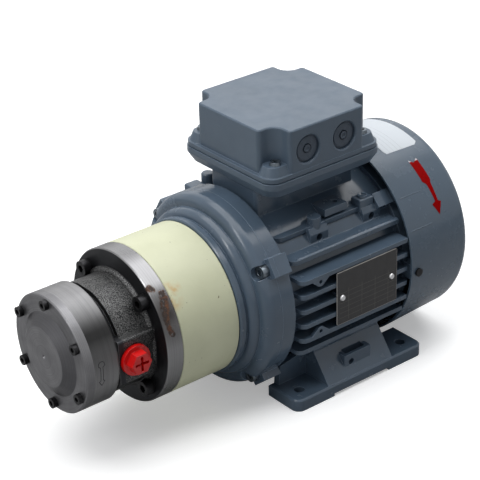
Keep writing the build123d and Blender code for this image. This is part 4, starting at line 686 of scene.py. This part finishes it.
# %% Give every part its finish
FINISH_OF = {
    motor_paint: "drive_end_shield motor_frame fan_end_shield right_foot left_foot",
    box_paint: "terminal_box_base terminal_box_lid",
    cowl_paint: "fan_cowl",
    shaded_plug_paint: "entry_plugs",
    pump_metal: "pump_body",
    cover_steel: "pump_cover",
    cream: "lantern",
    black_steel: "cover_screws flange_screws cowl_screws",
    grey_steel: "lid_screws shield_screws",
    zinc: "rear_screws foot_screws earth_screw",
    red_plastic: "suction_plug",
    dark_plastic: "fan terminal_block",
    ground_steel: "cam_ring port_plate vane_rotor pump_shaft pump_keys pump_bearing_outer_race "
                  "pump_bearing_inner_race bearing_circlip motor_shaft motor_key "
                  "drive_bearing_outer_race drive_bearing_inner_race rear_bearing_outer_race "
                  "rear_bearing_inner_race wave_spring fan_circlip",
    carbon: "vane_1 vane_2 vane_3 vane_4",
    bronze: "pump_bushes",
    seal_rubber: "cover_seal lip_seal drive_end_seal tower_gasket lid_gasket",
    spider_rubber: "coupling_spider",
    hub_metal: "pump_hub motor_hub rotor_end_rings rating_plate_rivets",
    core_steel: "stator_core rotor_core",
    copper: "stator_windings",
    brass: "terminal_studs terminal_links",
    plate_black: "rating_plate",
}
for finish, names in FINISH_OF.items():
    for name in names.split():
        nodes[name].data.materials.clear()
        nodes[name].data.materials.append(finish)
finished = sum(len(names.split()) for names in FINISH_OF.values())
print("finished parts:", finished, "of", len(nodes))

# %% [markdown]
# ## Thin sheets round the shaft line
#
# The label and the red arrow are stuck on the round cowl, and the stamped arrow lies on the round
# cylinder. A flat outline could be bent with a modifier. It is easier to control here: the sheet
# is a flat grid, each of its rows gets an angle from the top towards the rating plate and a start
# and an end along the shaft, and its points are then put straight onto the surface.

# %% Surfaces that carry a sheet
cowl_low, cowl_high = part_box("fan_cowl")
COWL_RADIUS = (cowl_high[2] - cowl_low[2]) / 2
COWL_TAPER = 0.0020 / 0.0490
CYLINDER_RADIUS = 0.039


def at_angle(angle, x, radius):
    """Place round the shaft line. The angle is in degrees."""
    turn = radians(angle)
    return Vector((x, -radius * sin(turn), SHAFT_Z + radius * cos(turn)))


def on_cowl(angle, x, lift):
    """Place on the cowl, which gets narrower towards the fan end."""
    return at_angle(angle, x, COWL_RADIUS - COWL_TAPER * (x - cowl_low[0]) + lift)


def on_cylinder(angle, x, lift):
    """Place on the pump's cylinder."""
    return at_angle(angle, x, CYLINDER_RADIUS + lift)


print("cowl radius", round(COWL_RADIUS / MM, 1), "mm")

# %% Wrap a grid onto a surface
ROW_STEP = 2.0


def wrap(place, rows, across=2, notch=0.0, lift_mm=0.05):
    """Grid with rows of (angle, start_mm, end_mm). notch turns the middle of the first row."""
    bm = bmesh.new()
    bmesh.ops.create_grid(bm, x_segments=across, y_segments=len(rows) - 1, size=0.5)
    for vert in bm.verts:
        number = round((vert.co.y + 0.5) * (len(rows) - 1))
        angle, start, end = rows[number]
        share = vert.co.x + 0.5
        if number == 0 and abs(share - 0.5) < 0.01:
            angle += notch
        vert.co = place(angle, (start + (end - start) * share) * MM, lift_mm * MM)
    return bm


def fill_rows(rows):
    """Rows put between the given ones, so that a sheet follows the round surface."""
    filled = [rows[0]]
    for first, last in zip(rows, rows[1:]):
        count = max(1, int(abs(last[0] - first[0]) / ROW_STEP))
        for number in range(1, count + 1):
            filled.append(tuple(a + (b - a) * number / count for a, b in zip(first, last)))
    return filled


print("rows are about", ROW_STEP, "degrees apart")

# %% Make a piece from a bmesh
def new_piece(name, bm, finish, thick_mm=0.0):
    """Object with its finish, ridden by the housing. thick_mm gives a sheet its thickness."""
    if thick_mm:
        bmesh.ops.recalc_face_normals(bm, faces=bm.faces)
        bmesh.ops.solidify(bm, geom=bm.faces[:], thickness=thick_mm * MM)
    bmesh.ops.recalc_face_normals(bm, faces=bm.faces)
    mesh = bpy.data.meshes.new(name)
    bm.to_mesh(mesh)
    bm.free()
    mesh.materials.append(finish)
    piece = bpy.data.objects.new(name, mesh)
    bpy.context.scene.collection.objects.link(piece)
    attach(piece, "housing")
    print(name, len(mesh.polygons), "faces")


print("piece helper ready")

# %% [markdown]
# ### White label
#
# The label is paper, about 30 mm wide, stuck over the top of the cowl. A plain rectangle would
# have hard corners. Its rows are shortened near both ends by the height of an arc, which rounds
# them.

# %% White label on top of the cowl
LABEL_FROM, LABEL_TO, LABEL_STEPS = -36, 23, 30
LABEL_START, LABEL_END, LABEL_CORNER = 56.7, 86.7, 3.0
START_CORNER_SHARE = 0.4
STICKER_MM = 0.08
label_rows = []
for number in range(LABEL_STEPS + 1):
    angle = LABEL_FROM + (LABEL_TO - LABEL_FROM) * number / LABEL_STEPS
    to_edge = min(angle - LABEL_FROM, LABEL_TO - angle) * radians(1) * COWL_RADIUS / MM
    inset = 0.0
    if to_edge < LABEL_CORNER:
        inset = LABEL_CORNER - sqrt(LABEL_CORNER ** 2 - (LABEL_CORNER - to_edge) ** 2)
    label_rows.append((angle, LABEL_START + inset * START_CORNER_SHARE, LABEL_END - inset))
new_piece("cowl_label", wrap(on_cowl, label_rows), label_white, thick_mm=STICKER_MM)

# %% [markdown]
# ### Red arrow
#
# The arrow shows which way the shaft turns. It has a broad notched tail, a narrow neck and a
# pointed head. It could be cut out of a larger sheet, but a few rows of its own give the same
# outline with even faces.

# %% Red arrow for the direction of turning
TAIL_NOTCH = 2.6
arrow_rows = fill_rows([
    (31.5, 68.6, 76.0), (46.0, 69.1, 76.4), (47.6, 71.0, 75.3), (48.6, 71.5, 75.1),
    (58.5, 72.5, 75.0), (59.5, 69.1, 77.3), (66.0, 72.9, 73.1),
])
new_piece("turning_arrow", wrap(on_cowl, arrow_rows, notch=TAIL_NOTCH), arrow_red,
          thick_mm=STICKER_MM)

# %% [markdown]
# ### Creases in the cowl
#
# Two short creases are pressed into the sheet metal of the cowl. A crease could be cut as a
# groove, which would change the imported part. A thin rod, with its axis a third of its radius
# under the surface, catches the light in much the same way and leaves the part alone.

# %% Two creases pressed into the cowl
CREASE_RADIUS, CREASE_SUNK, CREASE_FROM, CREASE_TO = 0.35, 0.12, 45, 64
CREASE_ANGLES = (50.0, 68.8)
for number, angle in enumerate(CREASE_ANGLES):
    bm = bmesh.new()
    bmesh.ops.create_cone(bm, segments=8, radius1=CREASE_RADIUS * MM, radius2=CREASE_RADIUS * MM,
                          depth=(CREASE_TO - CREASE_FROM) * MM, cap_ends=True)
    start, end = (on_cowl(angle, x * MM, -CREASE_SUNK * MM) for x in (CREASE_FROM, CREASE_TO))
    turn = (end - start).to_track_quat("Z", "Y").to_matrix().to_4x4()
    bmesh.ops.transform(bm, matrix=Matrix.Translation((start + end) / 2) @ turn, verts=bm.verts)
    new_piece("cowl_crease_" + str(number + 1), bm, cowl_paint)

# %% [markdown]
# ## Small castings on the motor frame
#
# The frame carries a lifting boss on its far side and a low seat beside its rear block. Both are
# cast in one with it, under the same paint. They could be joined to the frame with a boolean, but
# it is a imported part, so each is a rounded block that is sunk a little into it.

# %% Rounded block of the motor's casting
def cast_block(name, middle_mm, size_mm, round_mm):
    """Box with all its edges rounded."""
    bm = bmesh.new()
    bmesh.ops.create_cube(bm, size=1)
    bmesh.ops.scale(bm, vec=Vector(size_mm) * MM, verts=bm.verts)
    bmesh.ops.translate(bm, vec=Vector(middle_mm) * MM, verts=bm.verts)
    bmesh.ops.bevel(bm, geom=bm.edges[:], offset=round_mm * MM, segments=3, profile=0.5,
                    affect="EDGES", material=-1)
    new_piece(name, bm, motor_paint)


print("block helper ready")

# %% Lifting boss on the far side of the frame, beside the tower
FAR_SIDE, BOSS_DEEP, BOSS_ROUND = 40.5, 11, 1.2
POST_X, POST_Z, POST_RADIUS, POST_TALL, POST_ROUND = -39.5, 122, 4.5, 14, 1.5
cast_block("boss_block", (-43, FAR_SIDE, 113), (17, BOSS_DEEP, 14), BOSS_ROUND)
cast_block("boss_arm", (-50, FAR_SIDE, 121), (11, BOSS_DEEP, 5.8), BOSS_ROUND)
bm = bmesh.new()
bmesh.ops.create_cone(bm, segments=32, radius1=POST_RADIUS * MM, radius2=POST_RADIUS * MM,
                      depth=POST_TALL * MM, cap_ends=True)
top_edges = [edge for edge in bm.edges if all(vert.co.z > 0 for vert in edge.verts)]
bmesh.ops.bevel(bm, geom=top_edges, offset=POST_ROUND * MM, segments=4, profile=0.5,
                affect="EDGES", material=-1)
bmesh.ops.translate(bm, vec=Vector((POST_X, FAR_SIDE, POST_Z)) * MM, verts=bm.verts)
new_piece("boss_post", bm, motor_paint)

# %% Seat with a ring on top, beside the rear block of the frame
SEAT_X, SEAT_Y, SEAT_TOP, SEAT_TALL = 24.5, -39.5, 119.5, 9
RING_FOOT, RING_HEAD, RING_TALL, RING_WALL, RING_SUNK, RING_LIFT = 3.6, 3.2, 1.6, 1.3, 0.9, 0.5
cast_block("frame_seat", (SEAT_X, SEAT_Y, SEAT_TOP - SEAT_TALL / 2), (12, 9, SEAT_TALL), 0.8)
bm = bmesh.new()
bmesh.ops.create_cone(bm, segments=32, radius1=RING_FOOT * MM, radius2=RING_HEAD * MM,
                      depth=RING_TALL * MM, cap_ends=True)
top_faces = [face for face in bm.faces if all(vert.co.z > 0 for vert in face.verts)]
bmesh.ops.inset_region(bm, faces=top_faces, thickness=RING_WALL * MM)
bmesh.ops.translate(bm, vec=(0, 0, -RING_SUNK * MM), verts=top_faces[0].verts[:])
bmesh.ops.translate(bm, vec=Vector((SEAT_X, SEAT_Y, SEAT_TOP + RING_LIFT)) * MM, verts=bm.verts)
new_piece("frame_seat_ring", bm, motor_paint)

# %% [markdown]
# ## Rims on the entry plugs
#
# Each blanking plug of the terminal box has a raised middle with a thin rim round it. A torus
# could be built from its formula. Here a small circle is spun about an axis, which takes one
# step, and use_merge closes the seam. The circle lies in the plane of its spin, so the rim comes
# out flat, with its front and back in one plane. A circle turned upright would give a round ring.

# %% Thin rim on each entry plug
PLUG_RING_RADIUS, PLUG_RING_WIRE, PLUG_RING_LIFT = 2.7, 0.4, 0.1
plug_low, plug_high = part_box("entry_plugs")
plug_radius = (plug_high[2] - plug_low[2]) / 2
plug_face = plug_low[1] + PLUG_RING_LIFT * MM
stand = Matrix.Rotation(pi / 2, 4, "X")
for number, plug_x in enumerate((plug_low[0] + plug_radius, plug_high[0] - plug_radius)):
    bm = bmesh.new()
    bmesh.ops.create_circle(bm, segments=10, radius=PLUG_RING_WIRE * MM)
    bmesh.ops.translate(bm, vec=(PLUG_RING_RADIUS * MM, 0, 0), verts=bm.verts)
    bmesh.ops.spin(bm, geom=bm.verts[:] + bm.edges[:], cent=(0, 0, 0), axis=(0, 0, 1),
                   angle=2 * pi, steps=40, use_merge=True)
    middle = Vector((plug_x, plug_face, (plug_low[2] + plug_high[2]) / 2))
    bmesh.ops.transform(bm, matrix=Matrix.Translation(middle) @ stand, verts=bm.verts)
    new_piece("plug_ring_" + str(number + 1), bm, shaded_plug_paint)

# %% [markdown]
# ## Stamped arrow on the pump
#
# An arrow with a knob for a tail is stamped into the side of the cylinder, as an outline. It
# could be a dark line in the pump's finish, but its shape is easier to draw as rows. The whole
# arrow is wrapped onto the cylinder first and then inset, and its inner faces are deleted, so
# that only the outline stays. It is a sheet without thickness that lies just over the metal.

# %% Arrow stamped into the side of the pump, as an outline
MARK_LIFT, MARK_LINE = 0.015, 0.5
mark_rows = fill_rows([
    (78.5, -184.6, -182.6), (80.2, -186.0, -181.4), (83.0, -186.2, -181.2), (84.6, -184.9, -182.7),
    (97.3, -185.2, -183.0), (98.3, -186.5, -181.8), (103.6, -184.2, -183.8),
])
bm = wrap(on_cylinder, mark_rows, across=1, lift_mm=MARK_LIFT)
bmesh.ops.recalc_face_normals(bm, faces=bm.faces)
bmesh.ops.inset_region(bm, faces=bm.faces[:], thickness=MARK_LINE * MM, use_boundary=True,
                       use_even_offset=True)
inner = [face for face in bm.faces if not any(edge.is_boundary for edge in face.edges)]
bmesh.ops.delete(bm, geom=inner, context="FACES")
new_piece("stamped_arrow", bm, stamped_dark)

# %% [markdown]
# ## Floor
#
# The machine stands on a large pale floor that fades to white behind it. Strong lamps could
# bleach a white floor, but they would bleach the machine too. Instead the floor is paler for the
# camera than for other light, and glows a little for the camera only, more so further away. It
# keeps the shadow.

# %% Floor
FLOOR_HALF = 6.0
bm = bmesh.new()
bmesh.ops.create_grid(bm, x_segments=1, y_segments=1, size=FLOOR_HALF)
floor_mesh = bpy.data.meshes.new("floor")
bm.to_mesh(floor_mesh)
bm.free()
floor = bpy.data.objects.new("floor", floor_mesh)
bpy.context.scene.collection.objects.link(floor)
print("floor", 2 * FLOOR_HALF, "m wide")

# %% Floor finish
FLOOR_GREY, FLOOR_WHITE = (0.50, 0.50, 0.50), (0.90, 0.90, 0.90)
GLOW_NEAR, GLOW_MORE, GLOW_REACH_MM, GLOW_SOFT = 0.34, 0.7, 1500, 0.6
floor_finish = bpy.data.materials.new("floor_white")
floor_finish.use_nodes = True
tree = floor_finish.node_tree
tree.nodes.clear()
to_camera = tree.nodes.new("ShaderNodeLightPath").outputs["Is Camera Ray"]
matt = tree.nodes.new("ShaderNodeBsdfDiffuse")
tree.links.new(blend_colour(tree, to_camera, FLOOR_GREY, FLOOR_WHITE), matt.inputs["Color"])
glow = tree.nodes.new("ShaderNodeEmission")
near = patch(tree, place_in_part(tree), (0, 0, 0), GLOW_REACH_MM, GLOW_SOFT)
more = calc(tree, "MULTIPLY", calc(tree, "SUBTRACT", 1.0, near), GLOW_MORE)
strength = calc(tree, "MULTIPLY", to_camera, calc(tree, "ADD", GLOW_NEAR, more))
tree.links.new(strength, glow.inputs["Strength"])
lit = tree.nodes.new("ShaderNodeAddShader")
tree.links.new(matt.outputs[0], lit.inputs[0])
tree.links.new(glow.outputs[0], lit.inputs[1])
out = tree.nodes.new("ShaderNodeOutputMaterial")
tree.links.new(lit.outputs[0], out.inputs["Surface"])
floor.data.materials.append(floor_finish)
print("floor finish made")

# %% [markdown]
# ## World
#
# Behind the floor everything is white. A white world could also light the machine, but then its
# shadows would be pale. The Light Path node tells the rays apart: the camera and gloss see white,
# and what lights the paint itself is a weak and slightly cool fill.

# %% World: white to the camera and in gloss, a plain grey fill for the rest
FILL_COLOUR, FILL_STRENGTH = (0.93, 0.96, 1.0), 0.205
world = bpy.data.worlds.new("studio")
bpy.context.scene.world = world
world.use_nodes = True
tree = world.node_tree
tree.nodes.clear()
white = tree.nodes.new("ShaderNodeBackground")
white.inputs["Color"].default_value = (1, 1, 1, 1)
fill = tree.nodes.new("ShaderNodeBackground")
fill.inputs["Color"].default_value = (*FILL_COLOUR, 1)
fill.inputs["Strength"].default_value = FILL_STRENGTH
rays = tree.nodes.new("ShaderNodeLightPath").outputs
in_gloss = calc(tree, "MAXIMUM", rays["Is Glossy Ray"], rays["Is Transmission Ray"])
both = tree.nodes.new("ShaderNodeMixShader")
tree.links.new(calc(tree, "MAXIMUM", rays["Is Camera Ray"], in_gloss), both.inputs[0])
tree.links.new(fill.outputs[0], both.inputs[1])
tree.links.new(white.outputs[0], both.inputs[2])
out = tree.nodes.new("ShaderNodeOutputWorld")
tree.links.new(both.outputs[0], out.inputs["Surface"])
print("world fill strength", FILL_STRENGTH)

# %% [markdown]
# ## Lamps
#
# The photograph has a soft, bright light from above, crisp highlights on the paint on the left,
# and a weak light from behind. Point lamps would give hard shadows. Area lamps are soft, and
# their size says how soft: the small one on the left draws narrow highlights on the end shield.

# %% Soft boxes: place, the point they face, width and height in metres, and watts
SOFT_BOXES = {
    "box_above": ((0.05, 0.15, 1.5), (0, 0, 0.05), 2.5, 1.4, 30),
    "box_left": ((-1.4, -0.05, 1.1), (0, 0, 0.08), 0.34, 0.7, 6.2),
    "box_back": ((0.9, 1.5, 1.45), (0, 0, 0.1), 2.4, 2.0, 9),
}
for name, (place, aim, wide, high, watts) in SOFT_BOXES.items():
    lamp = bpy.data.lights.new(name, "AREA")
    lamp.shape = "RECTANGLE"
    lamp.size = wide
    lamp.size_y = high
    lamp.energy = watts
    box = bpy.data.objects.new(name, lamp)
    box.location = place
    box.rotation_euler = (Vector(aim) - Vector(place)).to_track_quat("-Z", "Y").to_euler()
    bpy.context.scene.collection.objects.link(box)
bpy.context.scene.view_settings.view_transform = "Standard"
print("soft boxes hung:", len(SOFT_BOXES))
